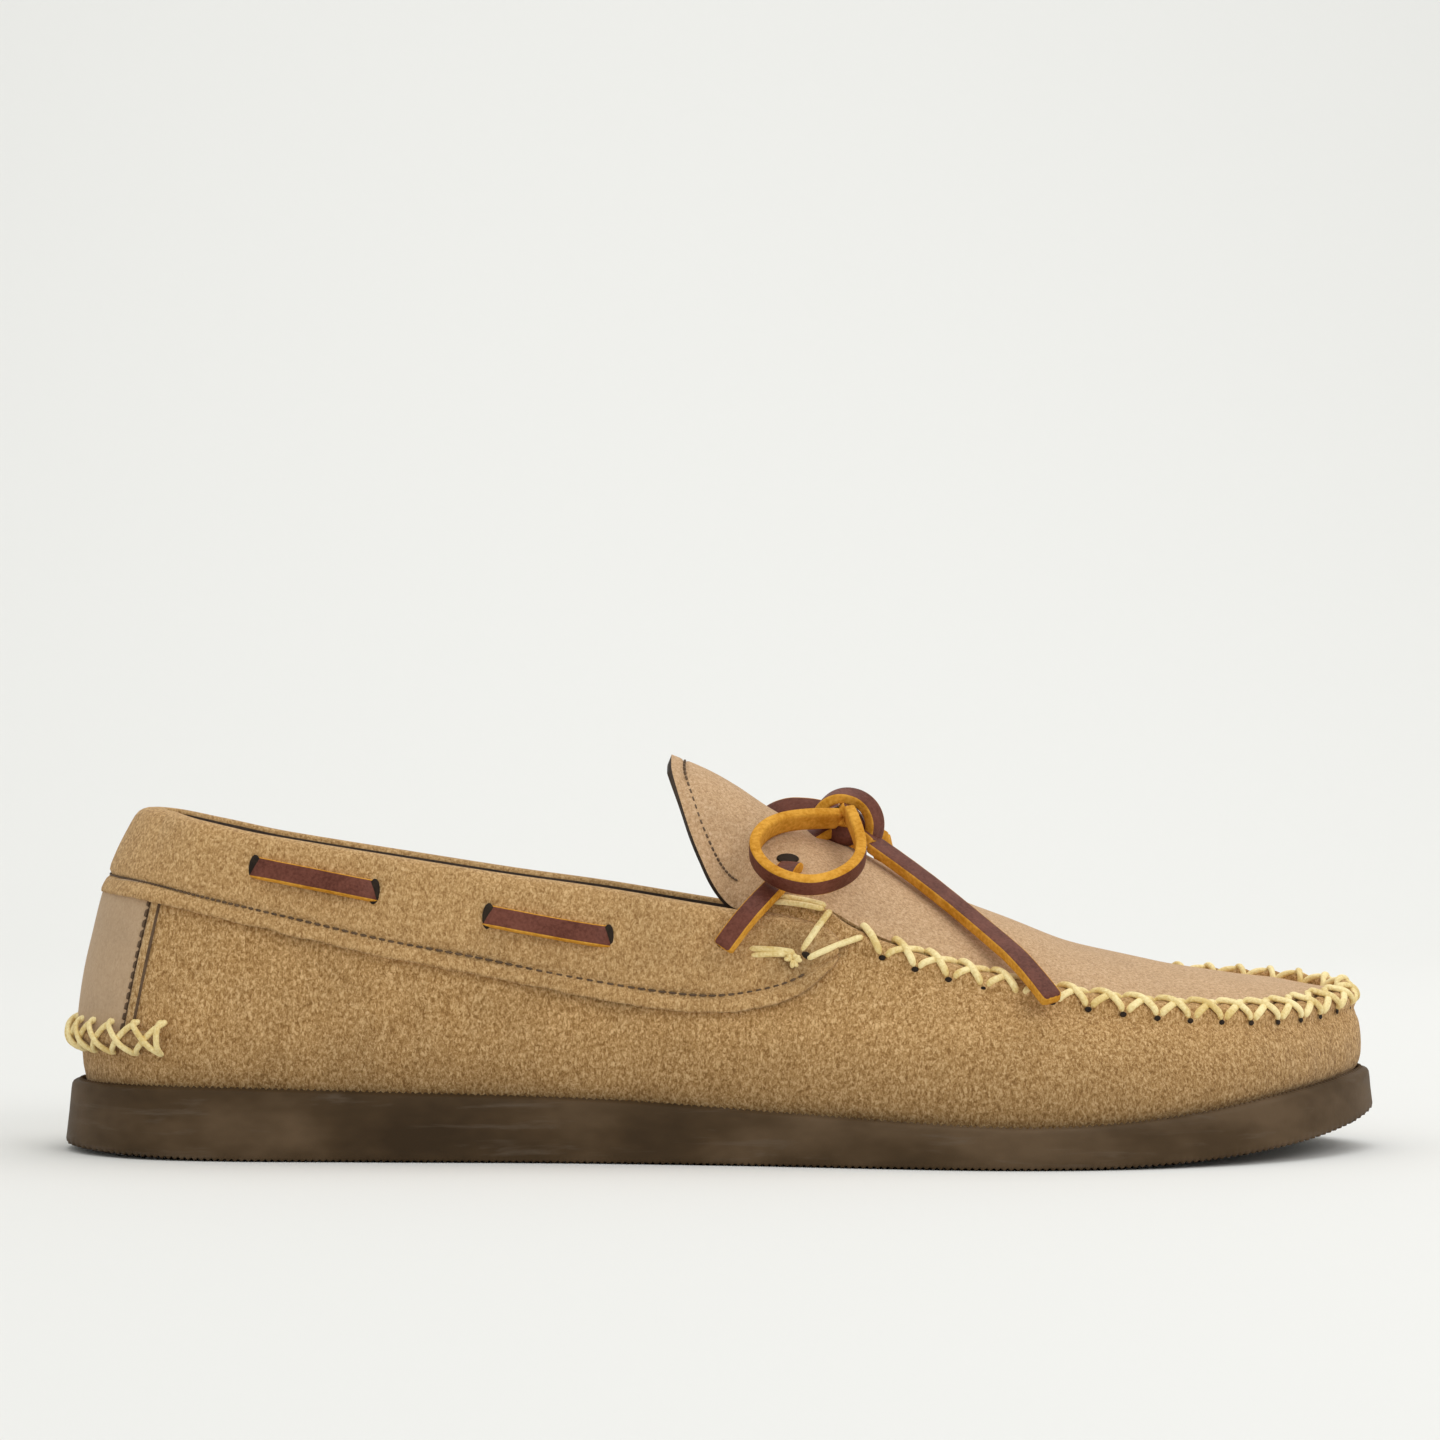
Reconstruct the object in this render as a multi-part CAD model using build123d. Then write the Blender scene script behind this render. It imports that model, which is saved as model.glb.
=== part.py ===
"""Hand-sewn camp moccasin, right shoe: suede upper on a rubber sole, closed by a tied leather thong.

Millimetres. The toe points along +X, the outer side of the foot is -Y, up is +Z, and z = 0 is the floor
under the tread. Every layer of the upper is the same wall, moved in or out by an offset, and cut by
profiles drawn in side view. The plug and the tongue are one arched surface given as a height.
"""
import math
import os

from build123d import *

os.makedirs("parts", exist_ok=True)

# ---------------------------------------------------------------- driving sizes
SUEDE = 2.2            # thickness of the vamp leather
COLLAR = 2.4           # thickness of the collar band over the vamp
PATCH = 1.3            # thickness of the heel patch
COUNTER = 1.1          # thickness of the hidden heel stiffener
LINING = 1.0           # thickness of the linings
PLUG = 2.4             # plug and tongue leather, measured straight down
GAP = 0.1              # air between layers of the shoe's body
MOVING_GAP = 0.5       # air between parts that move apart
RIM_WIDTH = 2.6        # rubber rim that stands up round the upper
RIM_HEIGHT = 2.2
FOOTBED = 3.5
LACE_WIDTH = 4.8
LACE_THICK = 2.3
LACE_SINK = 1.2        # how far the hidden lace sits below the collar's inner face
THREAD_R = 0.95        # waxed hand-sewing thread
MACHINE_R = 0.35       # machine-sewn thread
SIDE = 90.0            # half width of the cutting blocks

# Plan of the sole from the back of the heel along the outer side, round the toe and back along the
# inner side: x and y of the sole's edge, height of the upper's top edge, and how far it stands in.
STATIONS = [
    (-149.0, 0.0, 76.0, 14.0), (-144.0, -16.0, 76.0, 12.5), (-130.0, -28.5, 75.0, 11.0),
    (-110.0, -34.0, 72.5, 9.0), (-75.0, -36.0, 67.0, 7.0), (-35.0, -38.0, 61.0, 7.5),
    (5.0, -43.5, 56.0, 11.5), (35.0, -50.0, 48.5, 14.5), (60.0, -54.0, 41.0, 16.0),
    (85.0, -52.5, 36.3, 14.0), (108.0, -45.0, 34.2, 11.0), (127.0, -33.0, 33.4, 8.5),
    (141.0, -17.5, 34.2, 6.5), (149.0, -3.0, 35.8, 5.0), (150.0, 8.0, 36.4, 5.0),
    (146.0, 19.0, 37.0, 6.0), (136.0, 30.0, 38.0, 8.0), (121.0, 40.0, 38.6, 10.0),
    (104.0, 47.0, 39.0, 12.0), (82.0, 50.0, 40.6, 12.5), (58.0, 48.5, 44.0, 12.0),
    (32.0, 42.5, 50.0, 8.5), (3.0, 35.5, 56.5, 4.5), (-35.0, 33.0, 61.0, 3.5),
    (-75.0, 34.0, 67.0, 5.5), (-110.0, 33.5, 72.5, 8.5), (-130.0, 28.5, 75.0, 11.0),
    (-144.0, 16.0, 76.0, 12.5),
]
LEVELS = (2.0, 12.0, 20.0, 28.0, 36.0, 46.0, 58.0, 70.0, 82.0)
SOLE_EDGE_INSET = 4.2  # bottom of the upper, in from the sole's edge
WALL_BULGE = 1.3       # how far the wall swells out on its way up
HEEL_BULGE = 2.3
FLARE = 0.10           # outward lean of the sole's side wall, mm per mm going down

# Side-view profiles as x, z.
RIM_TOP = [(-153, 15.8), (-115, 15.9), (-86, 15.3), (-26, 13.7), (17, 11.1), (60, 8.9), (82, 9.3),
           (105, 11.4), (130, 15.2), (153, 18.6)]
TREAD = [(70, 0.0), (90, 0.4), (110, 1.7), (130, 4.2), (143, 6.8), (153, 10.0)]
HEEL_BEVEL = (-153.0, 1.6, -105.0)     # x, height at the back, and x where the tread turns flat
TOPLINE = [(-153, 78.6), (-131, 77.9), (-117, 75.2), (-105, 72.6), (-91, 70.2), (-71, 67.0),
           (-48, 63.4), (-26, 60.3), (-5, 56.8), (4, 55.4), (11, 54.8), (17, 53.6), (22, 52.2),
           (25.5, 49.6), (26.8, 46.6)]
COLLAR_EDGE = [(-153, 60.0), (-138, 58.4), (-128, 57.0), (-114, 53.9), (-94, 49.4), (-74, 44.8),
               (-54, 41.1), (-40, 38.2), (-27, 35.8), (-14, 33.8), (-1, 32.9), (11, 34.8),
               (18, 37.6), (24.5, 43.0), (26.8, 46.6)]
STITCH_RISE = 3.9      # collar stitching above the collar's lower edge
VAMP_TOP_OUTER = [(-153, 76.0), (-131, 75.6), (-105, 70.4), (-71, 64.8), (-26, 58.1), (4, 54.4),
                  (13, 57.0), (22, 55.2), (28, 51.4), (35, 48.4), (51, 43.2), (73, 38.2),
                  (95, 34.9), (118, 33.3), (132, 33.5), (141, 34.8), (153, 36.6)]
VAMP_TOP_INNER = [(-153, 76.0), (-131, 75.6), (-105, 70.4), (-71, 64.8), (-26, 58.1), (4, 55.2),
                  (13, 57.0), (22, 54.6), (32, 50.0), (58, 44.0), (82, 40.6), (104, 39.0),
                  (122, 38.6), (136, 38.0), (146, 36.9), (153, 36.6)]
TOE_MIDDLE_Y = 4.0     # y of the toe's tip, where the two top edges meet
LACE_LINE = [(-153, 70.5), (-139, 70.2), (-120, 67.8), (-104, 64.9), (-76, 59.4), (-52, 54.3),
             (-23, 49.3), (0.5, 47.2)]
WINDOWS = [(-104.0, -75.5), (-52.0, -23.5)]
COLLAR_EXIT_X = 0.5
SLOT = 1.8             # length of a lace slot along the collar

# Plug and tongue: x, ridge height, outer side (half width, height there), inner side (the same).
ARCH = [
    (-16.0, 92.0, 25.0, 65.0, 25.0, 65.0), (-4.0, 87.1, 25.0, 60.3, 25.0, 60.3),
    (4.0, 82.8, 26.0, 56.8, 26.0, 57.0), (12.0, 77.7, 30.0, 56.8, 29.0, 57.2),
    (22.0, 72.2, 33.0, 54.3, 32.0, 55.0), (33.0, 67.5, 35.5, 48.0, 34.0, 50.0),
    (45.0, 61.3, 37.3, 43.8, 35.5, 46.8), (60.0, 54.6, 38.0, 39.9, 36.5, 43.2),
    (80.0, 47.5, 38.0, 36.0, 37.5, 39.8), (100.0, 42.6, 36.0, 33.8, 38.0, 38.3),
    (118.0, 39.5, 31.0, 32.5, 34.0, 37.7), (134.0, 37.4, 25.0, 31.8, 28.0, 36.4),
    (152.0, 34.6, 25.0, 31.0, 28.0, 33.4),
]
TONGUE_PLAN = [(5.0, 27.0), (0.1, 25.2), (-3.6, 22.6), (-7.6, 17.6), (-10.9, 9.5), (-11.3, 0.0)]
PLUG_FRONT_PLAN = [(14.0, -29.3), (22.0, -31.0)]
PLUG_BACK_PLAN = [(20.0, 29.8), (12.0, 27.6)]
HINGE = (5.5, 0.0, 71.0)
FOLD_TOP_X = 9.5       # the fold line crosses the ridge here
RIDGE_AT_FOLD = 79.5
FOLD_SWING = 12.0      # degrees each way


# ---------------------------------------------------------------- stitches and lace
STITCH_PITCH = 7.6
STITCH_IN = 2.8        # thread end on the plug, from the crest
STITCH_OUT = 2.6       # thread end on the wall, from the crest
STITCH_DROP = 3.2      # and how far below the crest
MAIN_LIFT = 2.9
COUNTER_LIFT = 1.9
HEEL_PITCH = 5.6
HEEL_STITCH_LOW = 23.0
HEEL_STITCH_HIGH = 30.4
MAIN_HEEL_LIFT = 2.6
COUNTER_HEEL_LIFT = 1.6
MACHINE_PITCH = 2.4
END_STITCHES_LEFT_OUT = 5     # the tongue's stitching stops short of the fold
START_STITCHES = [((6.0, 46.3, 0), (17.0, 46.6, 0)), ((18.5, 46.6, 0), (24.0, 55.5, 0)),
                  ((19.5, 45.6, 0.6), (30.0, 49.0, 0.6)), ((12.5, 59.0, -1.5), (23.5, 56.5, -0.5))]
START_KNOT = (16.0, 44.5, 1.6)
KNOT_CENTRE = (28.5, -2.0, 74.5)
KNOT_RADIUS = 9.6
KNOT_STRAND = [(17.0, -19.6, 71.2), (21.5, -12.5, 72.9), (26.0, -5.5, 73.2)]
PLUG_SLOT = (15.0, -21.2)
LOOP = [(25.5, -8.5, 78.6), (17.5, -13.5, 78.8), (9.5, -20.5, 76.0), (6.6, -30.5, 69.4),
        (11.5, -39.5, 63.0), (21.5, -40.5, 61.4), (30.0, -32.0, 64.4), (33.0, -20.0, 69.6),
        (31.0, -10.5, 75.2)]
OUTER_TAIL = [(35.5, -7.2, 70.2), (43.0, -12.5, 64.6), (52.0, -20.0, 57.4), (61.5, -29.5, 50.4),
              (69.0, -39.5, 45.0), (74.0, -47.0, 37.8)]
INNER_TAIL = [(37.0, 7.5, 71.2), (38.5, 16.0, 66.0), (41.0, 26.0, 59.6), (44.0, 35.5, 54.0),
              (48.0, 43.5, 48.0)]
FRONT_LACE = [(0.5, -41.2, 47.2), (4.0, -40.2, 52.6), (9.0, -36.4, 58.6), (13.0, -30.6, 63.6),
              (15.0, -24.4, 68.4)]


# ---------------------------------------------------------------- plain helpers
def along(table, x, column=1):
    """Value of a table's column at x, on straight lines between its rows, held at the ends."""
    if x <= table[0][0]:
        return table[0][column]
    for left, right in zip(table, table[1:]):
        if x <= right[0]:
            share = (x - left[0]) / (right[0] - left[0])
            return left[column] + share * (right[column] - left[column])
    return table[-1][column]


def outward(i):
    """Unit vector out of the sole's plan at station i."""
    before = STATIONS[i - 1]
    after = STATIONS[(i + 1) % len(STATIONS)]
    dx = after[0] - before[0]
    dy = after[1] - before[1]
    length = math.hypot(dx, dy)
    return dy / length, -dx / length


def wall_inset(i, z):
    """How far the upper's outer face stands in from the sole's edge at station i and height z."""
    x, _, top, top_inset = STATIONS[i]
    base = along(RIM_TOP, x)
    rise = min(max((z - base) / (top - base), 0.0), 1.12)
    bulge = HEEL_BULGE if x < -125 else WALL_BULGE
    swell = bulge * math.sin(math.pi * min(rise, 1.0) ** 0.55)
    return SOLE_EDGE_INSET + (top_inset - SOLE_EDGE_INSET) * rise ** 1.6 - swell


def outline(z, offset):
    """Closed plan curve of the upper's outer face at height z, moved out by offset."""
    points = []
    for i, row in enumerate(STATIONS):
        nx, ny = outward(i)
        out = offset - wall_inset(i, z)
        points.append((row[0] + nx * out, row[1] + ny * out, z))
    return Spline(*points, periodic=True)


def sole_outline(z, offset):
    """Closed plan curve of the sole's edge at height z, moved out by offset."""
    points = []
    for i, row in enumerate(STATIONS):
        nx, ny = outward(i)
        points.append((row[0] + nx * offset, row[1] + ny * offset, z))
    return Spline(*points, periodic=True)


def body_at(offset):
    """Everything inside the wall surface at this offset from the vamp's outer face."""
    return loft([make_face(outline(z, offset)) for z in LEVELS])


def side_block(points, y_from, y_to):
    """Block drawn as a closed outline of straight lines in side view."""
    corners = [(x, y_from, z) for x, z in points]
    face = make_face(Polyline(*corners, close=True))
    return extrude(face, amount=y_to - y_from, dir=(0, 1, 0))


def profile_block(profile, far_z, y_from=-SIDE, y_to=SIDE):
    """Block between a smooth side-view profile and a level line."""
    first = profile[0]
    last = profile[-1]
    top = Spline(*[(x, y_from, z) for x, z in profile])
    rest = Polyline((last[0], y_from, last[1]), (last[0], y_from, far_z),
                    (first[0], y_from, far_z), (first[0], y_from, first[1]))
    face = make_face([top, rest])
    return extrude(face, amount=y_to - y_from, dir=(0, 1, 0))


def raised(profile, dz):
    return [(x, z + dz) for x, z in profile]


FLOOR = raised(RIM_TOP, -RIM_HEIGHT)     # top of the rubber under the upper


# ---------------------------------------------------------------- the wall as a curve to follow
def wall_point(share, profile, offset, dz=0.0):
    """Point on the wall at a share of the way round, on a side-view profile's height."""
    height = along(profile, -140.0) + dz
    point = None
    for _ in range(4):
        point = outline(height, offset).position_at(share)
        height = along(profile, point.X) + dz
    return point


def share_at(x, side, z, offset):
    """Share of the way round at which the wall passes x, on the outer (-1) or inner (+1) side."""
    curve = outline(z, offset)
    low, high = (0.02, 0.46) if side < 0 else (0.98, 0.54)
    for _ in range(22):
        middle = (low + high) / 2
        if curve.position_at(middle).X < x:
            low = middle
        else:
            high = middle
    return (low + high) / 2


def side_point(x, side, z, offset):
    """Point on the wall at a given x and height."""
    return outline(z, offset).position_at(share_at(x, side, z, offset))


def rod(start, end, radius):
    """Round rod between two points."""
    direction = end - start
    plane = Plane(origin=start, z_dir=direction)
    return extrude(plane * Circle(radius), amount=direction.length)


def bowed(start, end, lift, radius):
    """Round thread from start to end, bowed away from the straight line by lift."""
    middle = (start + end) / 2 + lift
    path = ThreePointArc(start, middle, end)
    return sweep(Plane(origin=path @ 0, z_dir=path % 0) * Circle(radius), path=path)


# ---------------------------------------------------------------- sole and footbed
def make_outsole():
    low = -2.0
    high = 24.0
    block = loft([make_face(sole_outline(low, 1.0 - FLARE * low)),
                  make_face(sole_outline(high, 1.0 - FLARE * high))])
    block = block & profile_block(RIM_TOP, low - 1)
    back_x, back_z, flat_x = HEEL_BEVEL
    below = [(back_x, -5), (back_x, back_z), (flat_x, 0.0), (flat_x, -5)]
    block = block - side_block(below, -SIDE, SIDE)
    block = block - side_block([(-200, -5), (-200, 0), (200, 0), (200, -5)], -SIDE, SIDE)
    block = block - profile_block(TREAD, -5)
    seat_inset = RIM_WIDTH + 0.6
    seat = loft([make_face(sole_outline(low, -seat_inset)), make_face(sole_outline(high, -seat_inset))])
    return block - (seat & profile_block(FLOOR, 60))


def make_footbed(inside):
    lower = profile_block(raised(FLOOR, SUEDE + GAP), 60)
    upper = profile_block(raised(FLOOR, SUEDE + FOOTBED), -5)
    return inside & lower & upper


# ---------------------------------------------------------------- upper
def halves(outer_profile, inner_profile, far_z):
    """Block above or below two top edges, one a side, that meet at the toe's tip."""
    return (profile_block(outer_profile, far_z, -SIDE, TOE_MIDDLE_Y)
            + profile_block(inner_profile, far_z, TOE_MIDDLE_Y, SIDE))


def heel_seam():
    """Raised edge across the heel where the vamp is sewn to the part above it."""
    band = [(-170, 24.6), (-170, 28.2), (-125.5, 27.8), (-125.5, 24.6)]
    return (body_at(2.4) - body_at(0.0)) & side_block(band, -SIDE, SIDE)


def make_vamp(outer, inner):
    walls = outer - (inner & profile_block(raised(FLOOR, SUEDE), 100))
    walls = walls & halves(VAMP_TOP_OUTER, VAMP_TOP_INNER, -5)
    walls = walls & profile_block(FLOOR, 100)
    return walls + heel_seam()


def make_collar(outer, inner):
    band = body_at(COLLAR) - inner
    band = band & profile_block(TOPLINE, -5)
    outside = (band - outer) & profile_block(COLLAR_EDGE, 120)
    roll = (band & outer) - profile_block(raised(VAMP_TOP_OUTER[:7], GAP), -5)
    roll = roll & side_block([(-170, 0), (-170, 120), (2, 120), (2, 0)], -SIDE, SIDE)
    return outside + roll


def make_collar_lining(inner):
    shell = body_at(-SUEDE - GAP) - body_at(-SUEDE - GAP - LINING)
    depth = raised(TOPLINE[:9], -24)
    shell = shell & profile_block(raised(TOPLINE[:10], -1.0), -5) & profile_block(depth, 120)
    return shell


def make_heel_patch(outer):
    shell = body_at(PATCH) - outer
    edge = [(-170, 28.6), (-170, 63.0), (-124.2, 60.0), (-125.5, 56.0), (-130.8, 28.6)]
    return shell & side_block(edge, -SIDE, SIDE)


def make_heel_counter(inner):
    shell = body_at(COUNTER - SUEDE) - inner
    return shell & side_block([(-170, 20), (-170, 60), (-98, 52), (-90, 20)], -SIDE, SIDE)


# ---------------------------------------------------------------- plug and tongue
def arch_height(x, y):
    """Height of the plug's and tongue's top face."""
    side = (2, 3) if y < 0 else (4, 5)
    ridge = along(ARCH, x)
    width = along(ARCH, x, side[0])
    edge = along(ARCH, x, side[1])
    return ridge - (ridge - edge) * (y / width) ** 2


def arch_slab(top, bottom):
    """Arched sheet from the tongue's tip to the toe, between two heights against the top face."""
    across = [-42, -31, -20, -10, 0, 10, 20, 31, 42]
    faces = []
    for row in ARCH:
        x = row[0]
        upper = [(x, y, arch_height(x, y) + top) for y in across]
        lower = [(x, y, arch_height(x, y) + bottom) for y in reversed(across)]
        edges = [Spline(*upper), Line(upper[-1], lower[0]), Spline(*lower), Line(lower[-1], upper[0])]
        faces.append(make_face(edges))
    return loft(faces)


def plug_plan(inset):
    """Plan outline of plug and tongue together."""
    tongue = [(x, -(y - inset)) if y else (x + inset, 0.0) for x, y in TONGUE_PLAN]
    points = list(reversed(tongue)) + PLUG_FRONT_PLAN
    for i in range(7, 22):
        x, y, _, top_inset = STATIONS[i]
        nx, ny = outward(i)
        depth = top_inset + SUEDE + GAP
        points.append((x - nx * depth, y - ny * depth))
    points += PLUG_BACK_PLAN
    points += [(x, -y) for x, y in tongue[:-1]]
    return points


def plug_column(inset=0.0):
    curve = Spline(*[(x, y, 0.0) for x, y in plug_plan(inset)], periodic=True)
    return extrude(make_face(curve), amount=120)


def fold_block(behind, swing):
    """Block behind or in front of the tongue's fold line, opened by swing degrees at the hinge."""
    hinge_x, _, hinge_z = HINGE
    fold = math.degrees(math.atan2(RIDGE_AT_FOLD - hinge_z, FOLD_TOP_X - hinge_x))
    sign = -1 if behind else 1
    edge_x = hinge_x + sign * MOVING_GAP / 2
    reach = 60.0
    up = math.radians(fold - sign * swing / 2)
    down = math.radians(fold + 180 + sign * swing / 2)
    top = (edge_x + reach * math.cos(up), hinge_z + reach * math.sin(up))
    foot = (edge_x + reach * math.cos(down), hinge_z + reach * math.sin(down))
    far = 300 * sign
    return side_block([(edge_x, hinge_z), top, (far, top[1]), (far, foot[1]), foot], -SIDE, SIDE)


# ---------------------------------------------------------------- stitching
def cross_stitch_seam():
    """X stitches over the raised edge round the plug: counter threads below, main threads on top."""
    threads = []
    crest = seam_points()
    for i in range(len(crest) - 1):
        start = crest[i]
        end = crest[i + 1]
        step = end - start
        side = Vector(step.Y, -step.X, 0).normalized()
        for first, last, lift in ((start, end, MAIN_LIFT), (end, start, COUNTER_LIFT)):
            plug_end = first - side * STITCH_IN + Vector(0, 0, THREAD_R - 0.4)
            wall_end = last + side * STITCH_OUT - Vector(0, 0, STITCH_DROP)
            threads.append(bowed(plug_end, wall_end, Vector(0, 0, lift), THREAD_R))
    return Compound(threads)


def seam_points():
    """Evenly spaced points on the crest of the plug seam, from the outer side round to the inner."""
    points = []
    for i in range(7, 23):
        x, y, top, top_inset = STATIONS[i]
        nx, ny = outward(i)
        depth = top_inset + SUEDE / 2
        points.append((x - nx * depth, y - ny * depth, top))
    crest = Spline(*points)
    count = round(crest.length / STITCH_PITCH)
    return [crest.position_at(i / count) for i in range(count + 1)]


def heel_cross_stitches():
    """X stitches over the raised edge across the heel."""
    threads = []
    reach = 5
    for i in range(-reach, reach):
        low = wall_share_point(i, HEEL_STITCH_LOW)
        high = wall_share_point(i + 1, HEEL_STITCH_HIGH)
        threads.append(bowed(high, low, wall_out(low) * MAIN_HEEL_LIFT, THREAD_R * 0.85))
        low = wall_share_point(i + 1, HEEL_STITCH_LOW)
        high = wall_share_point(i, HEEL_STITCH_HIGH)
        threads.append(bowed(high, low, wall_out(low) * COUNTER_HEEL_LIFT, THREAD_R * 0.85))
    return Compound(threads)


def wall_share_point(i, z):
    """Point just off the heel's wall, i stitches from the middle of the back."""
    curve = outline(z, THREAD_R + 1.0)
    return curve.position_at((i * HEEL_PITCH / curve.length) % 1.0)


def wall_out(point):
    """Level unit vector pointing away from the heel's middle."""
    return Vector(point.X + 118.0, point.Y, 0).normalized()


def machine_stitches(profile, dz, offset, x_end):
    """Short machine stitches along a side-view profile, round the heel from one side to the other."""
    threads = []
    start = share_at(x_end, -1, along(profile, x_end) + dz, offset)
    stop = share_at(x_end, 1, along(profile, x_end) + dz, offset) - 1.0
    run = (start - stop) * outline(50.0, offset).length
    count = round(run / MACHINE_PITCH)
    marks = []
    for i in range(2 * count + 1):
        share = (start + (stop - start) * i / (2 * count)) % 1.0
        marks.append(wall_point(share, profile, offset, dz))
    for i in range(0, 2 * count - 1, 2):
        threads.append(rod(marks[i], marks[i] + (marks[i + 1] - marks[i]) * 1.3, MACHINE_R))
    return Compound(threads)


def patch_stitches():
    """Stitches down both front edges of the heel patch."""
    threads = []
    for side in (-1, 1):
        for i in range(11):
            z = 54.5 - i * MACHINE_PITCH
            x = -127.8 - (54.5 - z) * 0.21
            top = side_point(x, side, z, PATCH + MACHINE_R)
            foot = side_point(x - 0.4, side, z - 1.7, PATCH + MACHINE_R)
            threads.append(rod(top, foot, MACHINE_R))
    return Compound(threads)


def tongue_stitches():
    """Stitches round the tongue's free edge."""
    plan = plug_plan(STITCH_RISE)
    edge = Spline(*([(x, y, 0.0) for x, y in plan[-6:]] + [(x, y, 0.0) for x, y in plan[:6]]))
    count = round(edge.length / MACHINE_PITCH)
    threads = []
    for i in range(END_STITCHES_LEFT_OUT, count - END_STITCHES_LEFT_OUT):
        pair = []
        for share in (i / count, (i + 0.65) / count):
            spot = edge.position_at(share)
            pair.append(Vector(spot.X, spot.Y, arch_height(spot.X, spot.Y) + MACHINE_R + 0.6))
        threads.append(rod(pair[0], pair[1], MACHINE_R))
    return Compound(threads)


def start_stitches(side):
    """Long hand stitches where the plug seam begins at the front of the collar, and their knot."""
    threads = []
    for first, last in START_STITCHES:
        ends = [side_point(x, side, min(z, 52.0), COLLAR + THREAD_R + 0.3 + out)
                for x, z, out in (first, last)]
        ends = [Vector(p.X, p.Y, z) for p, (_, z, _) in zip(ends, (first, last))]
        away = Vector(0, side * 0.5, 0.5)
        threads.append(bowed(ends[0], ends[1], away, THREAD_R * 0.8))
    x, z, out = START_KNOT
    spot = side_point(x, side, z, COLLAR + out)
    threads.append(Pos(spot.X, spot.Y, spot.Z) * Sphere(THREAD_R * 1.5))
    return threads


# ---------------------------------------------------------------- lace
def lace_band(margin, x_from, x_to):
    """Side-view block that holds the lace's width between two x positions."""
    half = LACE_WIDTH / 2 + margin
    points = [row for row in LACE_LINE if x_from < row[0] < x_to]
    points = [(x_from, along(LACE_LINE, x_from))] + points + [(x_to, along(LACE_LINE, x_to))]
    upper = [(x, z + half) for x, z in points]
    lower = [(x, z - half) for x, z in reversed(points)]
    return side_block(upper + lower, -SIDE, SIDE)


def collar_lace(margin=0.0):
    """The part of the lace that the collar holds, weaving out through two windows a side."""
    deep = body_at(-LACE_SINK - margin)
    mid = body_at(LACE_THICK - LACE_SINK + margin)
    face = body_at(COLLAR + GAP)
    proud = body_at(COLLAR + GAP + LACE_THICK + margin)
    hidden = mid - deep
    shown = proud - face
    through = proud - deep
    spans = []
    x = -170.0
    for left, right in WINDOWS:
        spans.append(hidden & lace_band(margin, x, left))
        spans.append(through & lace_band(margin, left - SLOT - margin, left + margin))
        spans.append(shown & lace_band(margin, left - SLOT, right + SLOT))
        spans.append(through & lace_band(margin, right - margin, right + SLOT + margin))
        x = right
    spans.append(hidden & lace_band(margin, x, COLLAR_EXIT_X + SLOT / 2))
    exit_span = lace_band(margin, COLLAR_EXIT_X - SLOT / 2 - margin, COLLAR_EXIT_X + SLOT / 2 + margin)
    spans.append(through & exit_span)
    whole = spans[0]
    for span in spans[1:]:
        whole = whole + span
    return whole


def smooth_route(points):
    """Straight runs with tangent arcs as large as the runs allow; also returns the smallest radius."""
    spots = [Vector(*p) for p in points]
    radii = []
    for before, here, after in zip(spots, spots[1:], spots[2:]):
        turn = (here - before).get_angle(after - here)
        shorter = min((here - before).length, (after - here).length)
        radii.append(0.45 * shorter / math.tan(math.radians(turn) / 2))
    return FilletPolyline(*spots, radius=radii), min(radii)


def free_lace(name, points):
    """Free part of the lace, round here with the strip's own section area."""
    route, smallest = smooth_route(points)
    radius = math.sqrt(LACE_WIDTH * LACE_THICK / math.pi)
    tube = sweep(Plane(origin=route @ 0, z_dir=route % 0) * Circle(radius), path=route)
    section = math.pi * radius ** 2
    print(f"{name}: length {route.length:.1f} mm, smallest radius {smallest:.1f} mm, "
          f"volume / (section x length) {tube.volume / (section * route.length):.3f}")
    return tube


def mirrored(points):
    return [(x, -y, z) for x, y, z in points]


def make_bow_knot():
    """The wrap that stands over the loops' roots, its core, and the two strands up to it."""
    x, y, z = KNOT_CENTRE
    ring = Cylinder(KNOT_RADIUS, LACE_WIDTH) - Cylinder(KNOT_RADIUS - LACE_THICK, LACE_WIDTH)
    ring = Pos(x, y, z) * Rot(90, 0, 0) * ring
    core = Pos(x, 0, z + 1.5) * Rot(90, 0, 0) * Cylinder(KNOT_RADIUS - LACE_THICK - 1.4, 11.0)
    knot = ring + core - arch_slab(GAP, -40)
    for side in (1, -1):
        points = [(px, py * side, pz) for px, py, pz in KNOT_STRAND]
        knot = knot + free_lace("knot strand", points)
    return knot


def lace_under_plug():
    """The two hidden runs that cross under the plug from slot to slot, side by side."""
    radius = math.sqrt(LACE_WIDTH * LACE_THICK / math.pi)
    runs = []
    for x in (12.6, 17.4):
        points = [(x, y, arch_height(x, y) - PLUG - radius * 1.55) for y in (-21, -11, 0, 11, 21)]
        route = Spline(*points)
        runs.append(sweep(Plane(origin=route @ 0, z_dir=route % 0) * Circle(radius), path=route))
    return Compound(runs)


def lace_slot(side):
    """Slot through the plug for the lace."""
    x, y = PLUG_SLOT
    z = arch_height(x, y)
    return Pos(x, y * side, z) * Rot(45 * side, 0, 0) * Box(LACE_WIDTH + 1.2, LACE_THICK + 1.4, 12)


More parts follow.
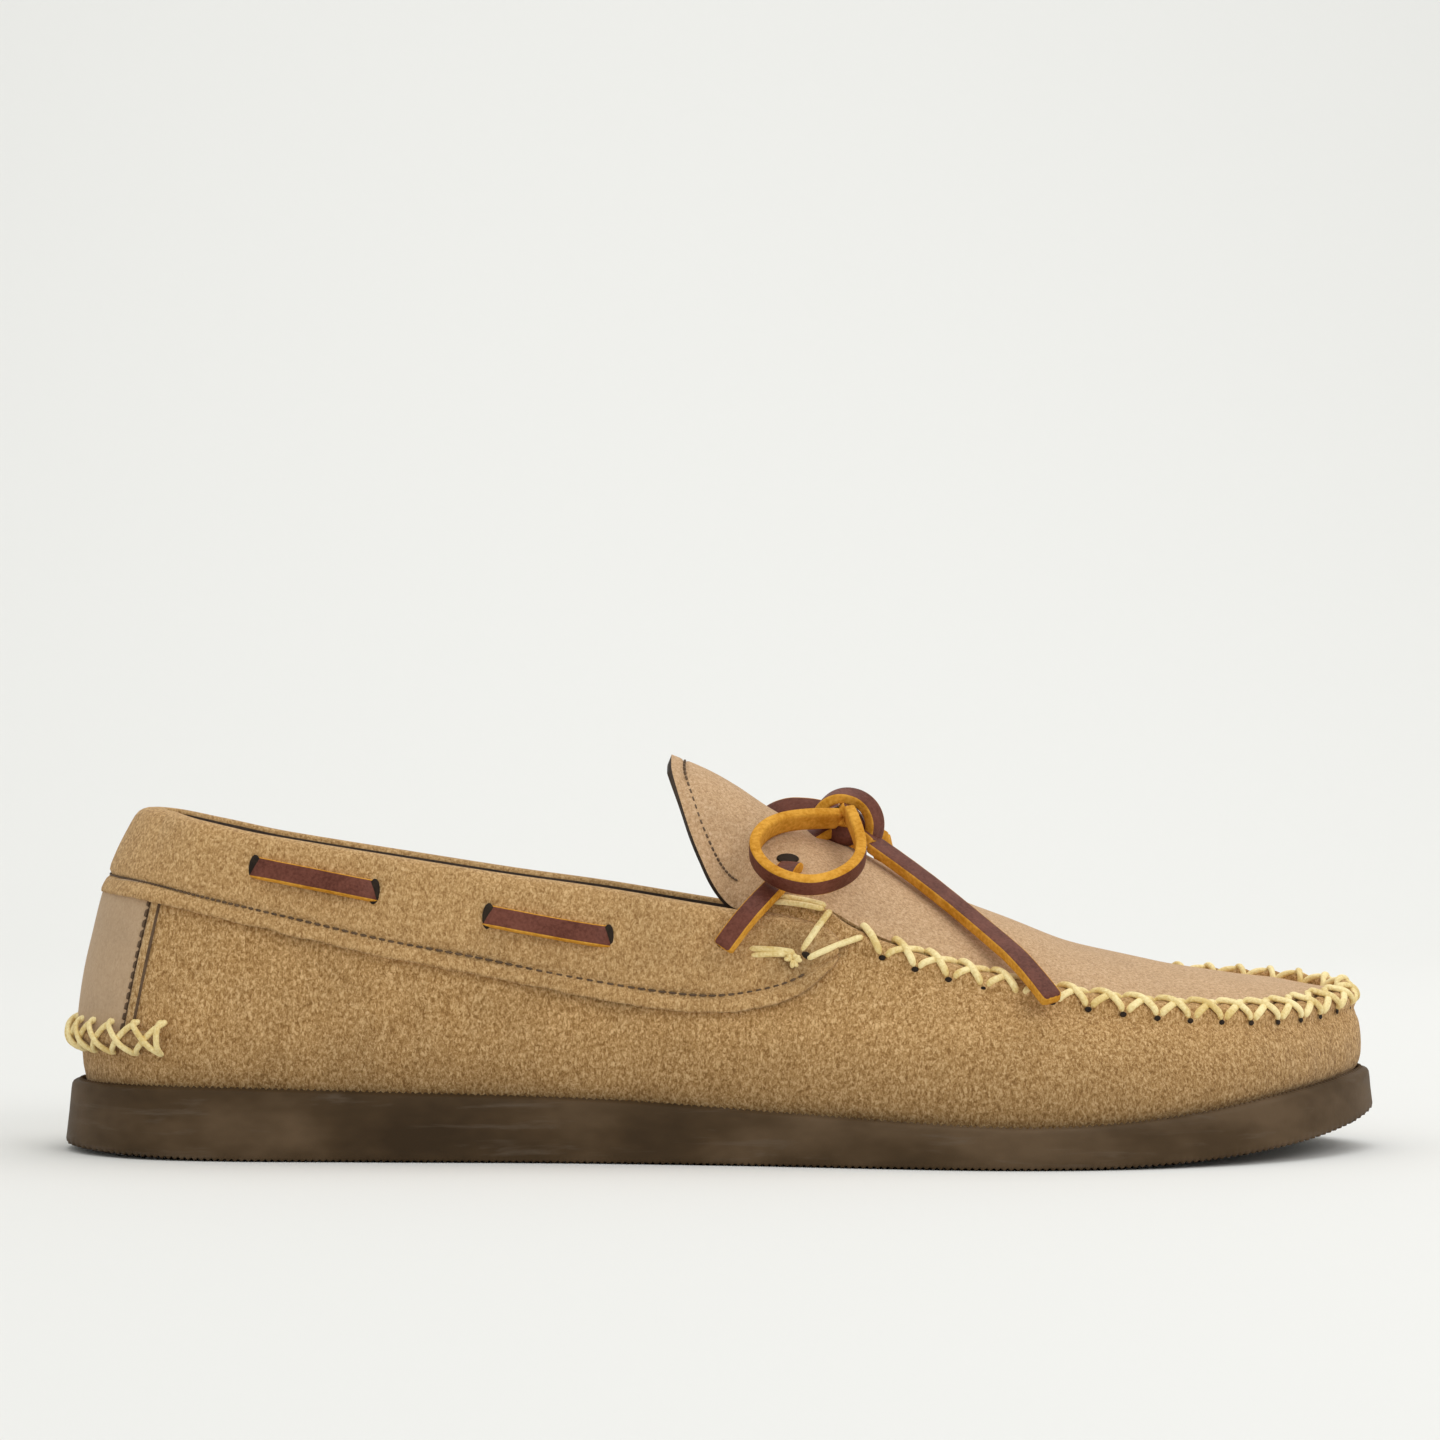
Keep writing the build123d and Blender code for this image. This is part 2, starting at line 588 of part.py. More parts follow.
# ---------------------------------------------------------------- build
outer = body_at(0.0)
inner = body_at(-SUEDE)
footbed_room = body_at(-SUEDE - GAP * 2)
counter = make_heel_counter(inner)
patch = make_heel_patch(outer)
column = plug_column()
slots = lace_slot(1) + lace_slot(-1)
plug_sheet = (arch_slab(0.0, -PLUG) & column) - slots
tongue_sheet = plug_sheet & fold_block(True, FOLD_SWING)
tongue_back = arch_slab(-PLUG - GAP, -PLUG - GAP - LINING) & plug_column(0.3)

pieces = {
    "outsole": make_outsole(),
    "footbed": make_footbed(footbed_room),
    "vamp": make_vamp(outer, inner) - counter,
    "heel_counter": counter,
    "heel_patch": patch,
    "collar": make_collar(outer, inner) - patch,
    "collar_lining": make_collar_lining(inner),
    "plug": plug_sheet & fold_block(False, FOLD_SWING),
    "tongue": tongue_sheet,
    "tongue_lining": tongue_back & fold_block(True, FOLD_SWING),
    "plug_cross_stitching": cross_stitch_seam(),
    "heel_cross_stitching": heel_cross_stitches(),
    "seam_start_stitching": Compound(start_stitches(-1) + start_stitches(1)),
    "collar_stitching": machine_stitches(COLLAR_EDGE, STITCH_RISE, COLLAR + MACHINE_R, 16.0),
    "heel_patch_stitching": patch_stitches(),
    "tongue_stitching": tongue_stitches(),
    "collar_lace": collar_lace(),
    "lace_under_plug": lace_under_plug(),
    "outer_front_lace": free_lace("outer_front_lace", FRONT_LACE),
    "inner_front_lace": free_lace("inner_front_lace", mirrored(FRONT_LACE)),
    "bow_knot": make_bow_knot(),
    "outer_bow_loop": free_lace("outer_bow_loop", LOOP),
    "inner_bow_loop": free_lace("inner_bow_loop", mirrored(LOOP)),
    "outer_lace_tail": free_lace("outer_lace_tail", OUTER_TAIL),
    "inner_lace_tail": free_lace("inner_lace_tail", INNER_TAIL),
}

for name, shape in pieces.items():
    shape.label = name
    export_step(shape, f"parts/{name}.step")
    print(name, round(shape.volume), len(shape.solids()))
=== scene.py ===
"""Looks of the hand-sewn camp moccasin. Metres outside, millimetres inside the helper functions.

The upper is one wall round the foot. Each layer follows the wall at its own offset, as in the CAD model,
and the plug and tongue are one arched surface given as a height.
"""
import math
import random

import bpy
import numpy as np
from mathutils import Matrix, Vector, noise


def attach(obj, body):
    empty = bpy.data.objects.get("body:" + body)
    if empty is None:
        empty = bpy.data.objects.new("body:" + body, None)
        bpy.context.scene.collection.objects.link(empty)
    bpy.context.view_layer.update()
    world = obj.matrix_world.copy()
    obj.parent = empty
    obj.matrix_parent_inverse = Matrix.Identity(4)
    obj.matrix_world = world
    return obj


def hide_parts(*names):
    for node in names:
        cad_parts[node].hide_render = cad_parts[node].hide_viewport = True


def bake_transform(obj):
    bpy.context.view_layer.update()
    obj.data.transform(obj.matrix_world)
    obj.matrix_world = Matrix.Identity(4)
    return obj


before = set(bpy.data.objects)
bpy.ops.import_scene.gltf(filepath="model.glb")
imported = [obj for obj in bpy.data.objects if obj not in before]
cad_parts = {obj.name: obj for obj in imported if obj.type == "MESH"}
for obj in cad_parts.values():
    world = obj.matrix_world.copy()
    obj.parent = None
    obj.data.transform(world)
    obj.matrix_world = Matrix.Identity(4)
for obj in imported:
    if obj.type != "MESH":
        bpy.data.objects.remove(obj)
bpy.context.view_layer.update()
MM = 0.001
random.seed(7)

UP = Vector((0, 0, 1))

# ---------------------------------------------------------------- driving sizes, mm and shares
SUEDE = 2.2             # thickness of the vamp
COLLAR = 2.0
PATCH = 1.3
PLUG = 2.2
LINING_OUT = 2.0        # thickness that the rows inside the collar are given in
FOOTBED = 3.0
FOOTBED_LIFT = 5.2      # its top over the foot of the upper
LACE_WIDTH = 4.8
LACE_THICK = 2.5
WINDOW_LACE = 0.72      # share of the lace's thickness in the collar's windows
THREAD_R = 0.95
HEEL_THREAD_R = 0.78
THREAD_FLAT = 0.8
RIM_WIDTH = 2.4
RIM_HEIGHT = 2.0
RIM_TOOTH = 1.45        # pitch of the rim's teeth
SIPE_PITCH = 1.5
SIPE_DEPTH = 0.55
FLARE = 0.10            # how much the sole widens down each millimetre
SOLE_EDGE_INSET = 4.2
INSET_POWER = 1.6
WALL_BULGE = 1.3
HEEL_BULGE = 2.3
BULGE_POWER = 0.55      # below 1 the bulge sits low on the wall
HEEL_X = -118.0         # where the round of the heel begins
HEEL_BLEND = 14.0       # over how much of x its shape comes in
HEEL_LEAN = 3.4         # how far the collar leans in at the back of the heel
LEAN_START_Z = 58.0
LEAN_RISE = 18.0
COLLAR_FRONT = (26.6, 46.6)     # x and z of the collar's front end
COLLAR_FULL = 14.0      # height under which its edges are squeezed together
STITCH_RISE = 3.9       # collar stitching over the collar's lower edge
SEAM_START_X = 27.5
SEAM_DROP = 2.6         # needle holes below the vamp's top edge
STITCH_PITCH = 7.6
HEEL_SEAM_Z = 26.4      # middle of the raised edge across the heel
HEEL_STEP = 0.0137      # share of the way round from one heel stitch to the next
HEEL_REACH = 6          # heel stitches on each side of the back
PATCH_LOW_Z = 27.8      # heel patch: lower edge, height, front edge's foot and lean
PATCH_TALL = 34.0
PATCH_FRONT_X = -131.6
PATCH_LEAN = 0.205
PATCH_GIRTH = 72.0      # round the heel from one front edge to the other
PATCH_MARGIN = 2.5      # its sewn groove's distance from the edge
TONGUE_START_X = 14.0
TONGUE_MARGIN = 3.2     # its stitching's distance from the edge
COLUMNS = 900           # steps round the shoe

# Sole's edge x, y; height of the upper's top edge there; how far that edge stands in.
STATIONS = [
    (-149, 0, 76, 14), (-144, -16, 76, 12.5), (-130, -28.5, 75, 11),
    (-110, -34, 72.5, 9), (-75, -36, 67, 7), (-35, -38, 61, 7.5),
    (5, -43.5, 56, 11.5), (35, -50, 48.5, 14.5), (60, -54, 41, 16),
    (85, -52.5, 36.3, 14), (108, -45, 34.2, 11), (127, -33, 33.4, 8.5),
    (141, -17.5, 34.2, 6.5), (149, -3, 35.8, 5), (150, 8, 36.4, 5),
    (146, 19, 37, 6), (136, 30, 38, 8), (121, 40, 38.6, 10),
    (104, 47, 39, 12), (82, 50, 40.6, 12.5), (58, 48.5, 44, 12),
    (32, 42.5, 50, 8.5), (3, 35.5, 56.5, 4.5), (-35, 33, 61, 3.5),
    (-75, 34, 67, 5.5), (-110, 33.5, 72.5, 8.5), (-130, 28.5, 75, 11),
    (-144, 16, 76, 12.5),
]
# Side-view profiles as x, z.
RIM_TOP = [(-153, 15.8), (-115, 15.9), (-86, 15.3), (-26, 13.7), (17, 11.1), (60, 8.9), (82, 9.3),
           (105, 11.4), (130, 15.2), (153, 18.6)]
TREAD = [(-153, 1.6), (-105, 0), (70, 0), (90, 0.4), (110, 1.7), (130, 4.2), (143, 6.8),
         (153, 10)]
TOPLINE = [(-153, 78.6), (-131, 77.9), (-117, 75.2), (-105, 72.6), (-91, 70.2), (-71, 67),
           (-48, 63.4), (-26, 60.3), (-5, 56.8), (4, 55.4), (11, 54.8), (17, 53.6), (22, 52.2),
           (25.5, 49.6), (26.8, 46.6)]
COLLAR_EDGE = [(-153, 60), (-138, 58.4), (-128, 57), (-114, 53.9), (-94, 49.4), (-74, 44.8),
               (-54, 41.1), (-40, 38.2), (-27, 35.8), (-14, 33.8), (-1, 32.9), (11, 34.8),
               (18, 37.6), (24.5, 43), (26.8, 46.6)]
VAMP_TOP_OUTER = [(-153, 76), (-131, 75.6), (-105, 70.4), (-71, 64.8), (-26, 58.1), (4, 54.6),
                  (13, 57.2), (22, 55.8), (28, 51.6), (35, 48.4), (51, 43.2), (73, 38.2),
                  (95, 34.9), (118, 33.3), (132, 33.5), (141, 34.8), (153, 36.6)]
VAMP_TOP_INNER = [(-153, 76), (-131, 75.6), (-105, 70.4), (-71, 64.8), (-26, 58.1), (4, 55.2),
                  (13, 57.2), (22, 55), (32, 50.4), (58, 44), (82, 40.6), (104, 39),
                  (122, 38.6), (136, 38), (146, 36.9), (153, 36.6)]
LACE_LINE = [(-153, 70.5), (-139, 70.2), (-120, 67.8), (-104, 64.9), (-76, 59.4), (-52, 54.3),
             (-23, 49.3), (0.5, 47.2)]
WINDOWS = [(-104, -75.5), (-52, -23.5)]
ARCH = [
    (-16, 92, 25, 65, 25, 65), (-4, 87.1, 25, 60.3, 25, 60.3),
    (4, 82.8, 26, 56.8, 26, 57), (12, 77.7, 30, 56.8, 29, 57.2),
    (22, 72.2, 33, 54.3, 32, 55), (33, 67.5, 35.5, 48, 34, 50),
    (45, 61.3, 37.3, 43.8, 35.5, 46.8), (60, 54.6, 38, 39.9, 36.5, 43.2),
    (80, 47.5, 38, 36, 37.5, 39.8), (100, 42.6, 36, 33.8, 38, 38.3),
    (118, 39.5, 31, 32.5, 34, 37.7), (134, 37.4, 25, 31.8, 28, 36.4),
    (152, 34.6, 25, 31, 28, 33.4),
]
TONGUE_PLAN = [(5, 27), (0.1, 25.2), (-3.6, 22.6), (-7.6, 17.6), (-10.9, 9.5), (-11.3, 0)]
PLUG_FRONT_PLAN = [(14, -29.3), (22, -31)]
PLUG_BACK_PLAN = [(20, 29.8), (12, 27.6)]
# Long stitches where the seam begins: x, z and height off the wall of both ends, and the radius.
START_STITCHES = [
    (5.6, 46.9, 1.6, 16.8, 46.3, 2.6, 0.80), (6.4, 45.4, 1.8, 17.2, 45.7, 2.6, 0.72),
    (18.2, 46.2, 1.8, 24.6, 55.2, 1.6, 0.85), (19.6, 44.9, 2, 31.5, 49.6, 1.2, 0.80),
    (12.6, 58.3, 1, 23.6, 56.4, 1.2, 0.80), (12.2, 57.2, 1.4, 23.2, 55.6, 1.4, 0.74),
]

# Free parts of the lace: points that their smooth routes run between.
LOOP = [(27.5, -8.6, 75.4), (18, -13.2, 75.6), (9.8, -19.8, 73.4), (6.9, -29, 68.4),
        (11, -37.6, 62.9), (20.5, -40.2, 60.4), (29.8, -33.6, 63.8), (32.4, -21.5, 69.8),
        (29.2, -10.4, 77)]
INNER_LOOP = [(27.5, 8.6, 76.2), (19, 13, 78.4), (11, 19.6, 76.4), (7, 29, 69.6),
              (11, 37.6, 62.9), (20.5, 40.2, 60.4), (29.8, 33.6, 63.8), (32.4, 21.5, 69.8),
              (29.2, 10.4, 77)]
OUTER_TAIL = [(34.5, -7.2, 69.8), (43, -12.5, 63.8), (52, -20.5, 56.6), (60, -29.5, 49.8),
              (67, -39.5, 43.6), (72.4, -47.4, 36)]
INNER_TAIL = [(37, 7.5, 71.2), (38.5, 16, 66), (41, 26, 59.6), (44, 35.5, 54),
              (48, 43.5, 48)]
FRONT_LACE = [(0.5, -41.4, 47.2), (4.5, -40.8, 52.8), (9.5, -36.4, 58), (13.4, -30.5, 61.6),
              (15.8, -25.2, 65.4), (16.4, -22.2, 64.2)]
INNER_FRONT_LACE = [(0, 33, 46), (4.5, 35.2, 52.8), (9.5, 34.4, 58.4), (13.4, 29.3, 61.6),
                    (15.8, 25.2, 65.4), (16.4, 22.2, 64.2)]
# Strands through the knot and up to it, each with the way its grain side faces.
KNOT_STRANDS = [
    ([(26, -9.4, 75.4), (28.5, -3, 74.4), (28.5, 3, 74.4), (26, 9.4, 75.4)], (0.2, 0, 1)),
    ([(29.2, -11, 76.4), (29.4, -4, 77.4), (29.4, 4, 77.4), (29.2, 11, 76.4)], (0.5, 0, 0.8)),
    ([(35.4, -7.9, 69.2), (32.5, -4.5, 72.2), (28, -2, 72.6), (23.5, -4, 72.4),
      (20.5, -6.5, 70.6)], (0.4, 0, 1)),
    ([(37.4, 7.9, 70.8), (33.5, 3, 73.4), (29, 0, 71.2), (24.5, 3, 71.4), (21, 6, 70)],
     (0, 0, 1)),
]
KNOT_CENTRE = (28.6, -4.6, 74.2)
KNOT_RADIUS = 7.6
KNOT_WRAP = (172, -40)      # angles where the wrap starts and ends, degrees
# Ways that the grain side faces along the tails and the front laces.
TAIL_FACES = [(0.25, -0.62, 0.75), (0.35, -0.70, 0.62), (0.32, -0.78, 0.52), (0.26, -0.88, 0.38)]
FRONT_FACES = [(-0.35, -0.9, 0.25), (-0.25, -0.85, 0.45), (-0.1, -0.6, 0.8)]

# ---------------------------------------------------------------- looks, m
# Darker spot at the collar's front end, on both sides: rubbed wear, with painted shade in the hollow
# between the collar's front edge and the plug.
WEAR_AND_SHADE_SPOT = (0.0165, 0.043, 0.0465)
WEAR_AND_SHADE_REACH = 0.019
FOOT_SHADE_Z = 0.04         # below it the suede darkens towards the sole
CAMERA_DISTANCE = 850.0     # mm, as the three below
CAMERA_HEIGHT = 83.0
CAMERA_AIM_Z = 98.0
FRAME_WIDTH = 331.5         # width of the view at the shoe's middle
BACKDROP = (0.985, 1.0, 0.965)
FLOOR_COLOUR = (0.80, 0.795, 0.785)
FLOOR_HALF = 6.0
SWEEP_START_Y = 0.9
SWEEP = 1.6                 # radius of the floor's turn up into the backdrop
WORLD_LIGHT = 0.82
LIGHTS = [
    ("Top_light", (0.3, 0.2, 1.3), (0, 0, 0), 6.0, 1.2),
    ("Front_light", (0.9, -1.1, 1.0), (0, 0, 0.04), 5.0, 0.7),
    ("Back_light", (0.0, 1.2, 1.6), (0, 2.4, 0.6), 6.0, 1.6),
]


# ---------------------------------------------------------------- smooth tables
def smooth(table, x, column=1):
    """Smooth value of a table's column at x (monotone between rows, held at the ends)."""
    xs = [row[0] for row in table]
    if x <= xs[0]:
        return table[0][column]
    if x >= xs[-1]:
        return table[-1][column]
    i = max(k for k in range(len(xs) - 1) if xs[k] <= x)
    span = xs[i + 1] - xs[i]
    t = (x - xs[i]) / span

    def slope(k):
        if k <= 0 or k >= len(xs) - 1:
            j = min(max(k, 0), len(xs) - 2)
            return (table[j + 1][column] - table[j][column]) / (xs[j + 1] - xs[j])
        return (table[k + 1][column] - table[k - 1][column]) / (xs[k + 1] - xs[k - 1])

    a = table[i][column]
    b = table[i + 1][column]
    m0 = slope(i) * span
    m1 = slope(i + 1) * span
    return (a * (2 * t**3 - 3 * t**2 + 1) + m0 * (t**3 - 2 * t**2 + t)
            + b * (3 * t**2 - 2 * t**3) + m1 * (t**3 - t**2))


def ring(t):
    """Station values at t from 0 to 1 round the shoe, on a closed smooth curve."""
    n = len(STATIONS)
    place = (t % 1.0) * n
    i = int(place)
    u = place - i
    rows = [STATIONS[(i + k) % n] for k in (-1, 0, 1, 2)]
    values = []
    for c in range(4):
        p0, p1, p2, p3 = (row[c] for row in rows)
        values.append(0.5 * (2 * p1 + (p2 - p0) * u + (2 * p0 - 5 * p1 + 4 * p2 - p3) * u**2
                             + (3 * p1 - p0 - 3 * p2 + p3) * u**3))
    return values


class Column:
    """One upright line of the wall: its place on the sole's edge and its outward direction."""

    def __init__(self, t):
        self.t = t
        self.x, self.y, self.top, self.inset = ring(t)
        ahead = ring(t + 0.002)
        behind = ring(t - 0.002)
        dx = ahead[0] - behind[0]
        dy = ahead[1] - behind[1]
        length = math.hypot(dx, dy)
        self.nx = dy / length
        self.ny = -dx / length
        self.out = Vector((self.nx, self.ny, 0))
        self.base = smooth(RIM_TOP, self.x)
        self.side = -1 if self.y < 4.0 else 1

    def wall(self, z, offset=0.0):
        """Point of the wall at height z, moved out by offset."""
        rise = min(max((z - self.base) / (self.top - self.base), 0.0), 1.12)
        heel = min(max((HEEL_X - self.x) / HEEL_BLEND, 0.0), 1.0)
        bulge = WALL_BULGE + (HEEL_BULGE - WALL_BULGE) * heel
        swell = bulge * math.sin(math.pi * min(rise, 1.0) ** BULGE_POWER)
        inset = SOLE_EDGE_INSET + (self.inset - SOLE_EDGE_INSET) * rise ** INSET_POWER - swell
        inset += HEEL_LEAN * heel * max(0.0, (z - LEAN_START_Z) / LEAN_RISE) ** 1.3
        out = offset - inset
        return Vector((self.x + self.nx * out, self.y + self.ny * out, z))

    def on(self, profile, offset=0.0, dz=0.0):
        """Point of the wall on a side-view profile."""
        z = smooth(profile, self.x) + dz
        for _ in range(4):
            z = smooth(profile, self.wall(z, offset).x) + dz
        return self.wall(z, offset)

    def sole(self, z, offset):
        """Point at height z over the sole's edge, moved out by offset."""
        return Vector((self.x + self.nx * offset, self.y + self.ny * offset, z))


RING = [Column(i / COLUMNS) for i in range(COLUMNS)]


def column_at(x, side, z=None, offset=0.0):
    """The column whose wall passes x at height z, on the outer (-1) or inner (+1) side."""
    low, high = (0.02, 0.47) if side < 0 else (0.98, 0.53)
    for _ in range(22):
        middle = (low + high) / 2
        spot = Column(middle)
        here = spot.x if z is None else spot.wall(z, offset).x
        if here < x:
            low = middle
        else:
            high = middle
    return Column((low + high) / 2)


def vamp_top(column):
    """Point of the vamp's top edge."""
    return column.on(VAMP_TOP_OUTER if column.side < 0 else VAMP_TOP_INNER)


def arch_height(x, y):
    """Height of the plug's and tongue's top face."""
    side = (2, 3) if y < 0 else (4, 5)
    ridge = smooth(ARCH, x)
    return ridge - (ridge - smooth(ARCH, x, side[1])) * (y / smooth(ARCH, x, side[0])) ** 2


def arch_normal(x, y):
    """Upward direction square to the plug's top face."""
    dx = arch_height(x + 0.5, y) - arch_height(x - 0.5, y)
    dy = arch_height(x, y + 0.5) - arch_height(x, y - 0.5)
    return Vector((-dx, -dy, 1)).normalized()


# ---------------------------------------------------------------- mesh helpers
def build_mesh(name, points, faces, materials, indices=None):
    """Smooth-shaded mesh from points in mm."""
    mesh = bpy.data.meshes.new(name)
    mesh.from_pydata([tuple(c * MM for c in p) for p in points], [], faces)
    for material in materials:
        mesh.materials.append(material)
    if indices:
        mesh.polygons.foreach_set("material_index", indices)
    mesh.polygons.foreach_set("use_smooth", [True] * len(mesh.polygons))
    mesh.update()
    piece = bpy.data.objects.new(name, mesh)
    bpy.context.scene.collection.objects.link(piece)
    return piece


def grid_faces(rows, columns, closed=False, first=0):
    """Quads of a grid stored row by row; closed joins its last column to its first."""
    faces = []
    last = columns if closed else columns - 1
    for r in range(rows - 1):
        for c in range(last):
            d = (c + 1) % columns
            a = first + r * columns
            b = first + (r + 1) * columns
            faces.append((a + c, a + d, b + d, b + c))
    return faces


class Builder:
    """Collects tubes and strips that share one mesh."""

    def __init__(self):
        self.points = []
        self.faces = []
        self.indices = []

    def loops(self, rings, index=None):
        """Skin a list of cross sections, capping both ends."""
        n = len(rings[0])
        first = len(self.points)
        for section in rings:
            self.points.extend(section)
        for k in range(len(rings) - 1):
            for c in range(n):
                d = (c + 1) % n
                a = first + k * n
                self.faces.append((a + c, a + d, a + n + d, a + n + c))
                self.indices.append(index[c] if index else 0)
        self.faces.append(tuple(first + c for c in reversed(range(n))))
        self.faces.append(tuple(first + (len(rings) - 1) * n + c for c in range(n)))
        self.indices += [index[0] if index else 0] * 2

    def tube(self, path, radius, flat, up, sides=8):
        """Round or flattened thread along a path of points."""
        rings = []
        total = len(path) - 1
        for k, spot in enumerate(path):
            ahead = path[min(k + 1, total)] - path[max(k - 1, 0)]
            ahead.normalize()
            lift = up[k] if isinstance(up, list) else up
            across = ahead.cross(lift).normalized()
            rise = across.cross(ahead)
            size = radius * 0.6 if k in (0, total) else radius
            section = []
            for s in range(sides):
                angle = 2 * math.pi * s / sides
                ply = 1.0 + 0.07 * math.sin(3 * (angle + 1.9 * k * 0.35))
                section.append(spot + across * (math.cos(angle) * size * ply)
                               + rise * (math.sin(angle) * size * flat * ply))
            rings.append(section)
        self.loops(rings)

    def strip(self, path, widths, width, thick):
        """Leather strip: grain on the side that across x ahead points to, cut edges and flesh elsewhere."""
        profile = [(-1, -0.8), (-0.95, -1), (0.95, -1), (1, -0.8), (1, 0.82), (0.94, 1), (0.45, 1.06),
                   (-0.45, 1.06), (-0.94, 1), (-1, 0.82)]
        index = [1, 1, 1, 1, 1, 0, 0, 0, 1, 1]
        total = len(path) - 1
        rings = []
        for k, spot in enumerate(path):
            ahead = (path[min(k + 1, total)] - path[max(k - 1, 0)]).normalized()
            across = (widths[k] - ahead * widths[k].dot(ahead)).normalized()
            rise = across.cross(ahead)
            wobble = 1.0 + 0.03 * noise.noise(spot * 0.3)
            rings.append([spot + across * (a * width / 2 * wobble) + rise * (b * thick / 2)
                          for a, b in profile])
        self.loops(rings, index)

    def make(self, name, materials):
        return build_mesh(name, self.points, self.faces, materials, self.indices)


def route_line(points):
    """Points along the smooth NURBS line with these control points, mm."""
    data = bpy.data.curves.new("route", "CURVE")
    data.dimensions = "3D"
    data.resolution_u = 12
    spline = data.splines.new("NURBS")
    spline.points.add(len(points) - 1)
    for spot, place in zip(spline.points, points):
        spot.co = (*place, 1.0)
    spline.order_u = 3
    spline.use_endpoint_u = True
    holder = bpy.data.objects.new("route", data)
    mesh = bpy.data.meshes.new_from_object(holder)
    line = [v.co.copy() for v in mesh.vertices]
    bpy.data.objects.remove(holder)
    bpy.data.curves.remove(data)
    bpy.data.meshes.remove(mesh)
    return line


def arc(start, end, lift, steps):
    """Points of a bow from start to end that rises by lift in its middle."""
    return [start.lerp(end, i / steps) + lift * math.sin(math.pi * i / steps) ** 0.8
            for i in range(steps + 1)]


def hump(value, centre, width):
    """Bell shape that is 1 at the centre and fades to 0 on both sides."""
    return math.exp(-((value - centre) / width) ** 2)


def ripple(point, size, amount):
    """Slow unevenness of leather: waves of this size and amount."""
    return noise.noise(point / size) * amount


def soften(piece):
    """Subdivision that rounds a piece off."""
    modifier = piece.modifiers.new("round", "SUBSURF")
    modifier.levels = 1
    modifier.render_levels = 1


def on_shoe(piece, *nodes):
    """The piece moves with the shoe and takes the place of these CAD nodes."""
    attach(piece, "shoe")
    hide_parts(*nodes)


# ---------------------------------------------------------------- materials
class Nodes:
    """Small helper to write a material's nodes in order."""

    def __init__(self, name, roughness):
        self.material = bpy.data.materials.new(name)
        self.material.use_nodes = True
        self.tree = self.material.node_tree
        self.shader = self.tree.nodes["Principled BSDF"]
        self.shader.inputs["Roughness"].default_value = roughness
        self.place = self.tree.nodes.new("ShaderNodeTexCoord").outputs["Object"]

    def stretched(self, scale):
        node = self.tree.nodes.new("ShaderNodeMapping")
        node.inputs["Scale"].default_value = scale
        self.tree.links.new(self.place, node.inputs["Vector"])
        return node.outputs["Vector"]

    def noise(self, scale, detail=3.0, rough=0.55, vector=None, distort=0.0):
        node = self.tree.nodes.new("ShaderNodeTexNoise")
        node.inputs["Scale"].default_value = scale
        node.inputs["Detail"].default_value = detail
        node.inputs["Roughness"].default_value = rough
        node.inputs["Distortion"].default_value = distort
        self.tree.links.new(vector or self.place, node.inputs["Vector"])
        return node.outputs["Fac"]

    def feed(self, socket, value):
        """Set a socket to a number or a colour, or link it to another node's output."""
        if isinstance(value, (int, float)):
            socket.default_value = value
        elif isinstance(value, tuple):
            socket.default_value = (*value, 1)
        else:
            self.tree.links.new(value, socket)

    def part(self, axis):
        """X, Y or Z of the place on the object."""
        node = self.tree.nodes.new("ShaderNodeSeparateXYZ")
        self.tree.links.new(self.place, node.inputs[0])
        return node.outputs[axis]

    def wear_and_shade_spot(self, centre, reach):
        """Darker round a place that both sides of the shoe have, fading out at reach: rubbed wear and
        painted shade.
        """
        both = self.tree.nodes.new("ShaderNodeCombineXYZ")
        self.tree.links.new(self.part("X"), both.inputs["X"])
        self.tree.links.new(self.maths("ABSOLUTE", self.part("Y"), 0), both.inputs["Y"])
        self.tree.links.new(self.part("Z"), both.inputs["Z"])
        away = self.tree.nodes.new("ShaderNodeVectorMath")
        away.operation = "DISTANCE"
        self.tree.links.new(both.outputs[0], away.inputs[0])
        away.inputs[1].default_value = centre
        share = self.maths("MULTIPLY", away.outputs["Value"], 1 / reach)
        ragged = self.maths("MULTIPLY", self.noise(260, 4, 0.65), 0.55)
        return self.ramp(self.maths("ADD", share, ragged), [(0.35, 0.52), (0.85, 1.0)])

    def ramp(self, value, stops):
        node = self.tree.nodes.new("ShaderNodeValToRGB")
        ramp = node.color_ramp
        while len(ramp.elements) < len(stops):
            ramp.elements.new(0.5)
        for element, (place, colour) in zip(ramp.elements, stops):
            element.position = place
            element.color = (*colour, 1) if isinstance(colour, tuple) else (colour, colour, colour, 1)
        self.tree.links.new(value, node.inputs["Fac"])
        return node.outputs["Color"]

    def mix(self, factor, first, second, kind="MIX"):
        node = self.tree.nodes.new("ShaderNodeMix")
        node.data_type = "RGBA"
        node.blend_type = kind
        for socket, value in ((node.inputs[0], factor), (node.inputs[6], first), (node.inputs[7], second)):
            self.feed(socket, value)
        return node.outputs[2]

    def maths(self, kind, first, second):
        node = self.tree.nodes.new("ShaderNodeMath")
        node.operation = kind
        for socket, value in zip(node.inputs, (first, second)):
            self.feed(socket, value)
        return node.outputs[0]

    def blended(self, first, share, second):
        """Sum of a share of the first value and the rest of the second."""
        return self.maths("ADD", self.maths("MULTIPLY", first, share),
                          self.maths("MULTIPLY", second, 1 - share))

    def colour(self, value):
        self.tree.links.new(value, self.shader.inputs["Base Color"])

    def bump(self, height, distance, strength=1.0):
        node = self.tree.nodes.new("ShaderNodeBump")
        node.inputs["Distance"].default_value = distance
        node.inputs["Strength"].default_value = strength
        self.tree.links.new(height, node.inputs["Height"])
        self.tree.links.new(node.outputs["Normal"], self.shader.inputs["Normal"])


